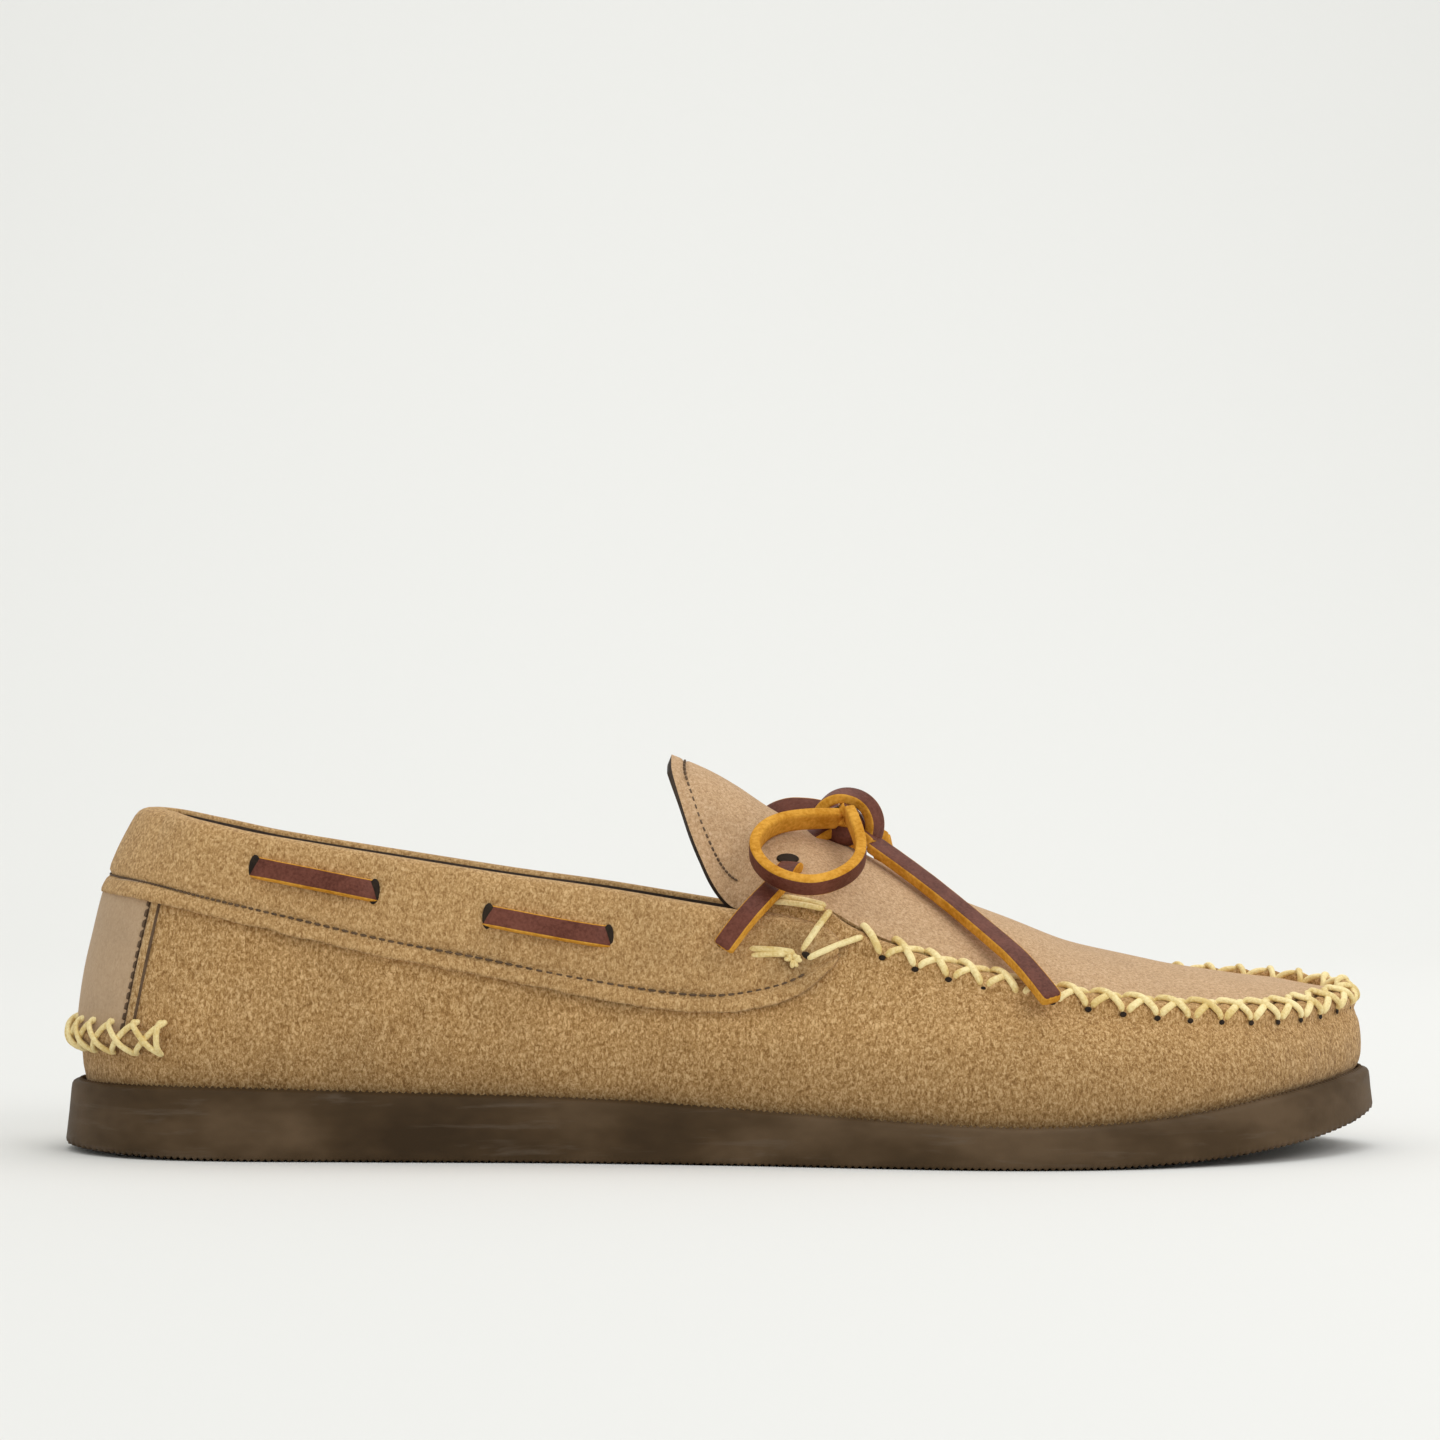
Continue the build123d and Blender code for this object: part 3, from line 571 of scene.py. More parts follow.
def suede(name, dark, middle, light, nap=1.0, sheen=0.25, foot_shade=1.0):
    """Rough leather: fine fibres in three tones over slow darker and lighter patches."""
    made = Nodes(name, 0.92)
    fibre = made.noise(2300, 4, 0.75, made.stretched((0.8, 0.8, 0.45)), 0.8)
    speck = made.noise(1150, 3, 0.65)
    patch = made.noise(85, 4, 0.6)
    slow = made.noise(14, 3, 0.5)
    fine = made.blended(fibre, 0.72, speck)
    spread = 0.105 / nap
    tone = made.ramp(fine, [(0.5 - spread, dark), (0.5, middle), (0.5 + spread, light)])
    shade = made.ramp(made.blended(patch, 0.45, slow), [(0.36, 0.84), (0.5, 0.96), (0.64, 1.0)])
    brushed = made.mix(0.9, tone, shade, "MULTIPLY")
    if foot_shade < 1.0:
        low = made.ramp(made.maths("MULTIPLY", made.part("Z"), 1 / FOOT_SHADE_Z),
                        [(0.28, foot_shade), (0.75, 1.0)])
        brushed = made.mix(1.0, brushed, low, "MULTIPLY")
    # Darker spot at the collar's front end: rubbed wear and painted shade.
    made.colour(made.mix(1.0, brushed, made.wear_and_shade_spot(WEAR_AND_SHADE_SPOT, WEAR_AND_SHADE_REACH), "MULTIPLY"))
    made.bump(made.maths("ADD", fine, made.maths("MULTIPLY", patch, 0.4)), 0.0004 * nap, 0.8)
    made.shader.inputs["Sheen Weight"].default_value = sheen
    made.shader.inputs["Sheen Roughness"].default_value = 0.6
    made.shader.inputs["Specular IOR Level"].default_value = 0.15
    return made.material


def leather(name, dark, light, roughness, grain=900.0, depth=0.00012, shine=0.3):
    """Smooth leather: pores and fine creases, slight colour change."""
    made = Nodes(name, roughness)
    pores = made.noise(grain, 4, 0.6)
    cloud = made.noise(120, 3, 0.5)
    made.colour(made.ramp(made.blended(pores, 0.5, cloud), [(0.38, dark), (0.62, light)]))
    made.bump(pores, depth, 0.7)
    made.shader.inputs["Specular IOR Level"].default_value = shine
    return made.material


def rubber(name):
    """Matt brown rubber with worn, greyer areas and faint scratches."""
    made = Nodes(name, 0.62)
    cloud = made.noise(34, 4, 0.6, made.stretched((0.6, 0.6, 1.2)))
    fine = made.noise(900, 3, 0.6)
    scuff = made.noise(140, 4, 0.65, made.stretched((0.25, 0.25, 2.2)), 0.4)
    tone = made.ramp(cloud, [(0.36, (0.036, 0.019, 0.006)), (0.50, (0.062, 0.035, 0.014)),
                             (0.66, (0.110, 0.068, 0.035))])
    marks = made.ramp(scuff, [(0.56, 0.0), (0.72, 0.45)])
    made.colour(made.mix(marks, tone, (0.13, 0.097, 0.070)))
    made.bump(made.maths("ADD", fine, made.maths("MULTIPLY", scuff, 0.8)), 0.0001, 0.6)
    made.shader.inputs["Specular IOR Level"].default_value = 0.18
    return made.material


def thread(name, dark, light, roughness=0.5):
    """Waxed thread: fibres along it and a soft shine."""
    made = Nodes(name, roughness)
    fibre = made.noise(1800, 3, 0.6)
    cloud = made.noise(160, 3, 0.5)
    made.colour(made.ramp(made.blended(fibre, 0.45, cloud), [(0.38, dark), (0.60, light)]))
    made.bump(fibre, 0.00015, 0.6)
    return made.material


TAN = suede("suede_tan", (0.25, 0.120, 0.034), (0.475, 0.272, 0.100), (0.76, 0.50, 0.25), 1.0, 0.1, 0.66)
SMOOTH_TAN = suede("suede_plug", (0.40, 0.235, 0.115), (0.57, 0.36, 0.195), (0.70, 0.48, 0.30), 0.9, 0.1)
COLLAR_TAN = suede("suede_collar", (0.28, 0.140, 0.045), (0.50, 0.293, 0.115), (0.75, 0.50, 0.25), 0.9, 0.1)
EDGE_TAN = suede("suede_edge", (0.27, 0.145, 0.05), (0.46, 0.275, 0.115), (0.66, 0.46, 0.24), 1.1, 0.1)
PATCH_TAN = suede("suede_patch", (0.42, 0.28, 0.165), (0.49, 0.335, 0.205), (0.55, 0.39, 0.25), 0.6, 0.1)
LINING = leather("lining_dark", (0.028, 0.017, 0.011), (0.065, 0.040, 0.026), 0.7)
SOCK = leather("sock_leather", (0.15, 0.085, 0.045), (0.24, 0.145, 0.08), 0.55)
GRAIN = leather("lace_grain", (0.088, 0.022, 0.012), (0.175, 0.056, 0.036), 0.5, 1400.0, 0.00012, 0.18)
FLESH = leather("lace_flesh", (0.47, 0.19, 0.012), (0.74, 0.37, 0.055), 0.85, 1100.0, 0.0002, 0.1)
YELLOW = thread("thread_yellow", (0.70, 0.50, 0.17), (0.95, 0.80, 0.42))
# Dark thread; the same material paints the shade lines along the heel patch's front edges and groove.
DARK_THREAD_AND_SHADE = thread("thread_dark_and_painted_shade", (0.075, 0.042, 0.02), (0.14, 0.085, 0.045), 0.8)
# Painted shade: dark discs that stand for the inside of lace slots and needle holes.
HOLE_SHADE = leather("hole_painted_shade", (0.012, 0.007, 0.004), (0.03, 0.018, 0.010), 0.9)
RUBBER = rubber("rubber_brown")
BOARD = leather("counter_board", (0.30, 0.25, 0.19), (0.42, 0.36, 0.28), 0.8)


# ---------------------------------------------------------------- camera and floor
def make_camera():
    """Camera at the outer side, a little above the shoe, level but for a very small tilt."""
    data = bpy.data.cameras.new("Camera")
    data.sensor_width = 36.0
    data.lens = data.sensor_width * CAMERA_DISTANCE / FRAME_WIDTH
    camera = bpy.data.objects.new("Camera", data)
    bpy.context.scene.collection.objects.link(camera)
    camera.location = (0.0, -CAMERA_DISTANCE * MM, CAMERA_HEIGHT * MM)
    tilt = math.atan2(CAMERA_AIM_Z - CAMERA_HEIGHT, CAMERA_DISTANCE)
    camera.rotation_euler = (math.pi / 2 + tilt, 0, 0)
    bpy.context.scene.camera = camera


# ---------------------------------------------------------------- lace
def turned(path, normals):
    """Width directions of a strip whose grain side faces the given normals, blended along it."""
    widths = []
    total = len(path) - 1
    for k in range(len(path)):
        ahead = (path[min(k + 1, total)] - path[max(k - 1, 0)]).normalized()
        place = k / total * (len(normals) - 1)
        i = min(int(place), len(normals) - 2)
        face = Vector(normals[i]).lerp(Vector(normals[i + 1]), place - i).normalized()
        widths.append(ahead.cross(face).normalized())
    return widths


def lace_piece(name, node, body, route, widths_of):
    """One free length of the lace as a flat strip on its smooth route."""
    path = route_line(route)
    strip = Builder()
    strip.strip(path, widths_of(path), LACE_WIDTH, LACE_THICK)
    piece = strip.make(name, [GRAIN, FLESH])
    soften(piece)
    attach(piece, body)
    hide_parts(node)
    return piece


def faced(normals, flip):
    """Function that gives a path's width directions; flip -1 mirrors the normals for the inner side."""
    return lambda path: turned(path, [(x, y * flip, z) for x, y, z in normals])


def loop_widths(side):
    """Width directions of a loop, the same all along it."""
    return lambda path: [Vector((0.0, 0.74, 0.67 * side)) for _ in path]


def make_free_lace():
    """Front laces from the collar to the plug, the bow's loops and its tails."""
    for name, body, route, widths_of, far_end in (
            ("Outer_front_lace", "shoe", FRONT_LACE, faced(FRONT_FACES, 1), "object"),
            ("Inner_front_lace", "shoe", INNER_FRONT_LACE, faced(FRONT_FACES, -1), "object"),
            ("Outer_bow_loop", "outer_loop", LOOP, loop_widths(-1), "object"),
            ("Inner_bow_loop", "inner_loop", INNER_LOOP, loop_widths(1), "object"),
            ("Outer_lace_tail", "outer_tail", OUTER_TAIL, faced(TAIL_FACES, 1), "bare"),
            ("Inner_lace_tail", "inner_tail", INNER_TAIL, faced(TAIL_FACES, -1), "bare")):
        lace_piece(name, name.lower(), body, route, widths_of)


def make_knot():
    """Wrap that stands over the loops' roots, and the strands that run through and up to it."""
    strips = Builder()
    x, y, z = KNOT_CENTRE
    radius = KNOT_RADIUS - LACE_THICK / 2
    path = []
    widths = []
    for k in range(33):
        share = k / 32
        angle = math.radians(KNOT_WRAP[0] + (KNOT_WRAP[1] - KNOT_WRAP[0]) * share)
        radial = Vector((math.cos(angle), 0, math.sin(angle)))
        stretch = 1.0 + 0.22 * max(0.0, share - 0.45)
        path.append(Vector((x, y - 1.2 + 2.4 * share, z)) + radial * radius * stretch)
        widths.append(Vector((-0.45, -0.86, -0.1)) - radial * 0.25)
    strips.strip(path, widths, LACE_WIDTH, LACE_THICK)
    for route, face in KNOT_STRANDS:
        line = route_line(route)
        strips.strip(line, turned(line, [face, face]), LACE_WIDTH * 0.95, LACE_THICK)
    core = [Vector((x - 0.4, y - 1.5 + 1.5 * k, z - 0.6)) for k in range(7)]
    strips.tube(core, radius * 0.86, 0.9, UP, sides=12)
    knot = strips.make("Bow_knot", [GRAIN, FLESH])
    soften(knot)
    on_shoe(knot, "bow_knot")


def make_collar_lace():
    """The lace where it shows in the collar's windows, with its ends turned into the slots."""
    strips = Builder()
    for side in (-1, 1):
        for left, right in WINDOWS:
            path = []
            widths = []
            for k in range(25):
                share = k / 24
                x = left - 1.0 + (right - left + 2.0) * share
                rise = min(share, 1 - share) * 24
                height = COLLAR - 3.4 + 4.8 * (1 - math.exp(-rise * 0.8))
                z = smooth(LACE_LINE, x)
                path.append(column_at(x, side, z).wall(z, height))
                widths.append(Vector((0.13, -0.34 * side, 0.93)) * side)
            strips.strip(path, widths, LACE_WIDTH, LACE_THICK * WINDOW_LACE)
    piece = strips.make("Collar_lace", [GRAIN, FLESH])
    soften(piece)
    on_shoe(piece, "collar_lace")


# ---------------------------------------------------------------- the seam round the plug
SEAM = [c for c in RING if c.x > SEAM_START_X - 0.5 and vamp_top(c).x > SEAM_START_X]
SEAM_TOPS = [vamp_top(c) for c in SEAM]
SEAM_LENGTHS = [0.0]
for before, after in zip(SEAM_TOPS, SEAM_TOPS[1:]):
    SEAM_LENGTHS.append(SEAM_LENGTHS[-1] + (after - before).length)
STITCHES = round(SEAM_LENGTHS[-1] / STITCH_PITCH)
PITCH = SEAM_LENGTHS[-1] / STITCHES


def seam_column(length):
    """Column of the wall at a length along the seam."""
    length = min(max(length, 0.0), SEAM_LENGTHS[-1])
    return Column(float(np.interp(length, SEAM_LENGTHS, [c.t for c in SEAM])))


def seam_length(column):
    """Length along the seam at a column, or None away from it."""
    if not SEAM[0].t <= column.t <= SEAM[-1].t:
        return None
    return float(np.interp(column.t, [c.t for c in SEAM], SEAM_LENGTHS))


def make_seam_threads():
    """X stitches: counter threads first, main threads over them."""
    threads = Builder()

    def over(plug_at, wall_at, lift):
        """One thread from the plug's face over the raised edge and down the wall."""
        spots = []
        for share, inward, rise in ((0.0, 3.0, -0.9), (0.0, 2.8, lift * 0.5), (0.32, 1.3, lift + 0.4),
                                    (0.62, -0.9, lift - 0.2)):
            column = seam_column(plug_at + (wall_at - plug_at) * share)
            spot = vamp_top(column) - column.out * inward
            if inward > 2:
                spot.z = arch_height(spot.x, spot.y)
            spots.append(tuple(spot + UP * rise))
        column = seam_column(wall_at)
        low = vamp_top(column).z - SEAM_DROP
        spots.append(tuple(column.wall(low + 1.0, lift * 0.7 + 0.7)))
        spots.append(tuple(column.wall(low, -0.5)))
        up = column.out * 0.6 + UP * 0.8
        threads.tube(route_line(spots)[::3], THREAD_R, THREAD_FLAT, up)

    for plug_share, wall_share, lift in ((1.9, 0.9, 0.6), (0.0, 0.7, 1.3)):
        for i in range(STITCHES):
            start = i * PITCH + 0.5
            jitter = random.uniform(-0.3, 0.3)
            over(start + plug_share * PITCH, start + wall_share * PITCH + jitter, lift)
    piece = threads.make("Plug_cross_stitching", [YELLOW])
    soften(piece)
    on_shoe(piece, "plug_cross_stitching")


def heel_spot(stitch, z, offset):
    """Point off the heel's wall, so many stitches round from the middle of the back."""
    return Column((stitch * HEEL_STEP) % 1.0).wall(z, offset)


def heel_out(spot):
    """Level direction out from the middle of the heel's round."""
    return Vector((spot.x - HEEL_X, spot.y, 0)).normalized()


def make_heel_threads():
    """X stitches over the raised edge across the heel, ended by one upright stitch a side."""
    threads = Builder()

    def over(top_at, low_at, lift):
        """One thread over the raised edge, from a stitch place above it to one below."""
        middle = (top_at + low_at) / 2
        shape = [heel_spot(place, HEEL_SEAM_Z + rise, out) for place, rise, out in (
            (top_at, 4.2, 0.6), (top_at, 3.8, lift * 0.6 + 1.2),
            (middle * 0.6 + top_at * 0.4, 2.2, lift + 2.3), (middle * 0.6 + low_at * 0.4, -1.2, lift + 2.3),
            (low_at, -3.0, lift * 0.5 + 0.9), (low_at, -3.8, -0.4))]
        line = route_line([tuple(p) for p in shape])[::3]
        threads.tube(line, HEEL_THREAD_R, THREAD_FLAT, heel_out(shape[2]))

    for i in range(-HEEL_REACH, HEEL_REACH):
        over(i + 1.15, i + 0.05, 0.45)
        over(i, i + 1.0, 1.2)
    for end in (-HEEL_REACH, HEEL_REACH):
        over(end, end, 0.8)
    piece = threads.make("Heel_cross_stitching", [YELLOW])
    soften(piece)
    on_shoe(piece, "heel_cross_stitching")


def surface_spot(x, z, side, out):
    """Point over the front of the collar or the vamp beside it."""
    level = min(z, 55.0)
    spot = column_at(x, side, level).wall(level, out)
    if z > level:
        spot = spot + Vector((0, -side * (z - level) * 0.9, z - level))
    return spot


def make_start_stitches():
    """Long stitches and a frayed knot where the seam begins, on both sides."""
    threads = Builder()
    for side in (-1, 1):
        for xa, za, oa, xb, zb, ob, radius in START_STITCHES:
            a = surface_spot(xa, za, side, oa)
            b = surface_spot(xb, zb, side, ob)
            dip = Vector((0, -side * 0.9, 0))
            path = [a + dip] + arc(a, b, Vector((0, side * 0.6, 0.35)), 8) + [b + dip]
            threads.tube(path, radius, 0.85, Vector((0, side, 0.3)))
        centre = surface_spot(16.6, 44.9, side, 2.8)
        for k in range(7):
            angle = 2.3 * k
            tip = centre + Vector((math.cos(angle) * 2.1, side * 0.5, math.sin(angle) * 1.7 - 0.4))
            threads.tube([centre, centre.lerp(tip, 0.5) + Vector((0, side * 0.8, 0)), tip], 0.72, 0.9,
                         Vector((0, side, 0.2)))
    piece = threads.make("Seam_start_stitching", [YELLOW])
    soften(piece)
    on_shoe(piece, "seam_start_stitching")


# ---------------------------------------------------------------- upper
def make_vamp():
    """The one-piece suede body, gathered along the plug seam."""
    rows = 30
    rim = ((0.5, -0.45), (1.1, -0.6), (1.8, -0.35), (2.2, 0.5), (2.2, 3.0), (2.2, 12.0), (2.2, 60.0))
    points = []
    for r in range(rows + 1 + len(rim)):
        for c in RING:
            top = vamp_top(c)
            foot = c.base - RIM_HEIGHT
            length = seam_length(c)
            gather = 0.0
            if length is not None:
                strong = min(max((c.x - 40) / 70, 0.15), 1.0)
                gather = strong * math.cos(2 * math.pi * (length / PITCH - 0.72))
            if r <= rows:
                share = (r / rows) ** 0.9
                z = foot + (top.z - foot) * share
                depth = top.z - z
                spot = c.wall(z)
                pull = gather * (0.4 * math.exp(-depth / 12.0) - 0.8 * math.exp(-depth / 5.0))
                if length is not None:
                    pull += 0.8 * hump(depth, 1.0, 1.6) - 0.6 * hump(depth, 4.0, 1.5)
                pull += ripple(spot, 26.0, 0.9) + ripple(spot, 8.0, 0.28)
                pull *= min(1.0, (z - foot) / 5.0)
                spot = c.wall(z, pull)
            else:
                inset, drop = rim[r - rows - 1]
                z = max(top.z - drop, foot + 4.0)
                spot = c.wall(z, -inset)
                if drop < 1.0:
                    spot.z -= 0.45 * gather
            points.append(spot)
    faces = grid_faces(rows + 1 + len(rim), len(RING), closed=True)
    vamp = build_mesh("Vamp", points, faces, [TAN])
    on_shoe(vamp, "vamp")


def make_heel_seam():
    """The vamp's raised edge across the heel, pinched between the stitches."""
    ridge = Builder()
    path = []
    for k in range(-56, 57):
        stitch = k / 10
        pinch = 0.25 * math.cos(2 * math.pi * stitch)
        path.append(heel_spot(stitch, HEEL_SEAM_Z, 0.2 - pinch))
    ridge.tube(path, 2.0, 1.05, [heel_out(p) for p in path], sides=12)
    piece = ridge.make("Heel_seam_edge", [EDGE_TAN])
    soften(piece)
    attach(piece, "shoe")


def patch_front(z):
    """X of the heel patch's front edge at height z."""
    return PATCH_FRONT_X + (z - PATCH_LOW_Z) * PATCH_LEAN


def make_heel_patch():
    """Smoother patch up the back of the heel, with a sewn margin down each front edge; painted shade
    darkens a thin line at each front edge and in the sewn groove.
    """
    rows = 18
    steps = 240
    points = []
    for r in range(rows + 1):
        z = PATCH_LOW_Z + PATCH_TALL * r / rows
        first = column_at(patch_front(z), -1, z, PATCH).t
        last = column_at(patch_front(z), 1, z, PATCH).t - 1.0
        for k in range(steps + 1):
            share = k / steps
            column = Column((first + (last - first) * share) % 1.0)
            edge = min(share, 1 - share) * PATCH_GIRTH
            height = PATCH * (1 - math.exp(-edge / 0.35)) - 0.55 * hump(edge, PATCH_MARGIN, 0.5)
            spot = column.wall(z, height)
            points.append(column.wall(z, height + ripple(spot, 12.0, 0.25)))
    faces = grid_faces(rows + 1, steps + 1)
    indices = []
    for k in range(len(faces)):
        share = (k % steps + 0.5) / steps
        edge = min(share, 1 - share) * PATCH_GIRTH
        # painted shade: a thin dark line at each front edge and in the sewn groove, in the dark thread's
        # material
        dark = edge < 0.4 or abs(edge - PATCH_MARGIN) < 0.3
        indices.append(2 if dark else int(edge < PATCH_MARGIN))
    patch = build_mesh("Heel_patch", points, faces, [PATCH_TAN, EDGE_TAN, DARK_THREAD_AND_SHADE], indices)
    on_shoe(patch, "heel_patch")

COLLAR_START = column_at(COLLAR_FRONT[0], -1, COLLAR_FRONT[1]).t
COLLAR_END = column_at(COLLAR_FRONT[0], 1, COLLAR_FRONT[1]).t - 1.0


def collar_column(share):
    """Column at a share of the way from the collar's outer front end round to the inner one."""
    return Column((COLLAR_START + (COLLAR_END - COLLAR_START) * share) % 1.0)


def collar_span(column):
    """Height of the collar's lower edge, how tall it is there, and how far its shape is squeezed."""
    low = column.on(COLLAR_EDGE, COLLAR).z
    tall = max(column.on(TOPLINE, COLLAR).z - low, 0.01)
    return low, tall, min(1.0, tall / COLLAR_FULL)


def make_collar():
    """Padded-looking suede band: raw lower edge, sewn groove, soft roll at the top, lining inside."""
    steps = 620
    # Rows as the height over the lower edge or below the topline, and the share of the thickness.
    outside = [(0.0, 0.1), (0.15, 0.92), (0.8, 1.02), (1.8, 1.0), (2.9, 0.9), (3.5, 0.66), (3.9, 0.52),
               (4.3, 0.66), (5.0, 0.95), (6.2, 1.08)]
    body = 9
    inside = [(0.9, 0.92), (0.35, 0.55), (0.05, 0.1), (0.0, -0.5), (0.1, -1.0), (0.45, -1.3),
              (1.2, -1.55), (3.0, -1.65), (12.0, -1.65), (22.0, -1.65)]
    lining_from = len(outside) + body + 6
    points = []
    total = len(outside) + body + len(inside)
    for r in range(total):
        for k in range(steps + 1):
            column = collar_column(k / steps)
            low, tall, squeeze = collar_span(column)
            if r < len(outside):
                up, out = outside[r]
                fray = 0.3 * noise.noise(Vector((k * 0.9, 0.0, 3.0)))
                fray += 0.4 * noise.noise(Vector((k * 0.12, 5.0, 0.0)))
                z = low + (up + fray * max(0.0, 1 - up / 3.0)) * squeeze
                offset = out * COLLAR
            elif r < len(outside) + body:
                share = (r - len(outside) + 1) / (body + 1)
                z = low + 6.2 * squeeze + (tall - 7.1 * squeeze) * share
                offset = COLLAR * (1.08 + 0.16 * math.sin(math.pi * share))
            else:
                down, out = inside[r - len(outside) - body]
                z = low + tall - down * squeeze
                offset = out * LINING_OUT
            spot = column.wall(z, offset)
            wave = ripple(spot, 18.0, 0.45) + ripple(spot, 6.0, 0.16)
            points.append(column.wall(z, offset + wave * squeeze))
    faces = grid_faces(total, steps + 1)
    indices = [int(i // steps >= lining_from) for i in range(len(faces))]
    collar = build_mesh("Collar", points, faces, [COLLAR_TAN, LINING], indices)
    on_shoe(collar, "collar", "collar_lining")


def plug_plan():
    """Plan outline of plug and tongue together, as a dense closed line."""
    tongue = [(x, -y) for x, y in TONGUE_PLAN]
    points = list(reversed(tongue)) + PLUG_FRONT_PLAN
    for i in range(7, 22):
        x, y, _, inset = STATIONS[i]
        before = STATIONS[i - 1]
        after = STATIONS[(i + 1) % len(STATIONS)]
        dx = after[0] - before[0]
        dy = after[1] - before[1]
        length = math.hypot(dx, dy)
        depth = inset + SUEDE - 0.3
        points.append((x - dy / length * depth, y + dx / length * depth))
    points += PLUG_BACK_PLAN
    points += TONGUE_PLAN[:-1]
    return points


def dense_closed(points, each=16):
    """Closed smooth line through the points, with so many steps between two of them."""
    out = []
    n = len(points)
    for i in range(n):
        p0, p1, p2, p3 = (points[(i + k) % n] for k in (-1, 0, 1, 2))
        for s in range(each):
            u = s / each
            out.append(tuple(0.5 * (2 * b + (c - a) * u + (2 * a - 5 * b + 4 * c - d) * u**2
                                    + (3 * b - a - 3 * c + d) * u**3)
                             for a, b, c, d in zip(p0, p1, p2, p3)))
    return out


PLAN = dense_closed(plug_plan())
TIP = max(range(len(PLAN)), key=lambda i: PLAN[i][0])
TAIL = min(range(len(PLAN)), key=lambda i: PLAN[i][0])


def plan_side(first, last):
    """The plan's x and y from the tongue's end to the toe, x rising."""
    n = len(PLAN)
    step = 1 if first < last else -1
    run = [PLAN[i % n] for i in range(first, last + step, step)]
    xs = np.maximum.accumulate([p[0] for p in run]) + np.arange(len(run)) * 1e-6
    return xs, [p[1] for p in run]


OUTER_PLAN = plan_side(TAIL, TIP)
INNER_PLAN = plan_side(TAIL + len(PLAN), TIP)


def arch_sheet(name, x_from, x_to, along_steps, materials, rim_material):
    """Part of the plug and tongue as a sheet with thickness."""
    across = 56
    points = []
    for r in range(along_steps + 1):
        share = r / along_steps
        x = x_from + (x_to - x_from) * (1 - math.cos(math.pi * share)) / 2
        low = float(np.interp(x, *OUTER_PLAN))
        high = float(np.interp(x, *INNER_PLAN))
        for k in range(across + 1):
            v = (1 - math.cos(math.pi * k / across)) / 2
            y = low + (high - low) * v
            z = arch_height(x, y)
            edge = min(y - low, high - y)
            z += ripple(Vector((x, y, z)), 20.0, 0.7) * min(1.0, edge / 6.0)
            if x < 6.0:
                rim = min(edge, x - PLAN[TAIL][0])
                z -= 0.5 * hump(rim, TONGUE_MARGIN, 0.55)
            points.append((x, y, z))
    faces = [tuple(reversed(face)) for face in grid_faces(along_steps + 1, across + 1)]
    sheet = build_mesh(name, points, faces, materials)
    thick = sheet.modifiers.new("thickness", "SOLIDIFY")
    thick.thickness = PLUG * MM
    thick.offset = -1
    thick.material_offset = 1
    thick.material_offset_rim = rim_material
    return sheet


def make_plug_and_tongue():
    """The apron on the shoe, and the tongue."""
    leathers = [SMOOTH_TAN, LINING, EDGE_TAN]
    on_shoe(arch_sheet("Plug", TONGUE_START_X, PLAN[TIP][0], 200, leathers, 2), "plug")
    tongue = arch_sheet("Tongue", PLAN[TAIL][0] + 0.2, TONGUE_START_X, 90, leathers, 1)
    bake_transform(tongue)
    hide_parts("tongue", "tongue_lining")


# ---------------------------------------------------------------- machine stitching
def stitch_row(threads, spots, outs, radius):
    """Short stitches between evenly spaced spots."""
    for spot, after, out in zip(spots, spots[1:], outs):
        end = spot.lerp(after, 0.72)
        threads.tube([spot - out * 0.35, spot.lerp(end, 0.2) + out * 0.12, spot.lerp(end, 0.8) + out * 0.12,
                      end - out * 0.35], radius, 1.0, out, sides=6)


def make_collar_stitching():
    """Stitches in the groove over the collar's lower edge."""
    threads = Builder()
    count = 236
    columns = [collar_column(0.018 + 0.964 * k / count) for k in range(count + 1)]
    spots = []
    for column in columns:
        low, _, squeeze = collar_span(column)
        spots.append(column.wall(low + STITCH_RISE * squeeze, COLLAR * 0.62))
    stitch_row(threads, spots, [column.out for column in columns], 0.24)
    on_shoe(threads.make("Collar_stitching", [DARK_THREAD_AND_SHADE]), "collar_stitching")


def make_patch_stitching():
    """A row in front of each side edge of the heel patch."""
    threads = Builder()
    heights = [57.5 - k * 2.3 for k in range(14)]
    for side in (-1, 1):
        columns = [column_at(patch_front(z) - 2.4, side, z, PATCH) for z in heights]
        spots = [column.wall(z, PATCH * 0.75) for column, z in zip(columns, heights)]
        stitch_row(threads, spots, [column.out for column in columns], 0.3)
    on_shoe(threads.make("Heel_patch_stitching", [DARK_THREAD_AND_SHADE]), "heel_patch_stitching")


def make_tongue_stitching():
    """A row along the tongue's free edge."""
    threads = Builder()
    spots = []
    for x, y in [p for p in PLAN[-70:] + PLAN[:90] if p[0] < 3.5][::3]:
        inward = Vector((TONGUE_START_X - x, -y, 0)).normalized() * TONGUE_MARGIN
        spot = Vector((x, y, 0)) + inward
        spot.z = arch_height(spot.x, spot.y) - 0.25
        spots.append(spot)
    stitch_row(threads, spots, [arch_normal(spot.x, spot.y) for spot in spots], 0.28)
    piece = threads.make("Tongue_stitching", [DARK_THREAD_AND_SHADE])
    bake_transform(piece)
    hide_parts("tongue_stitching")


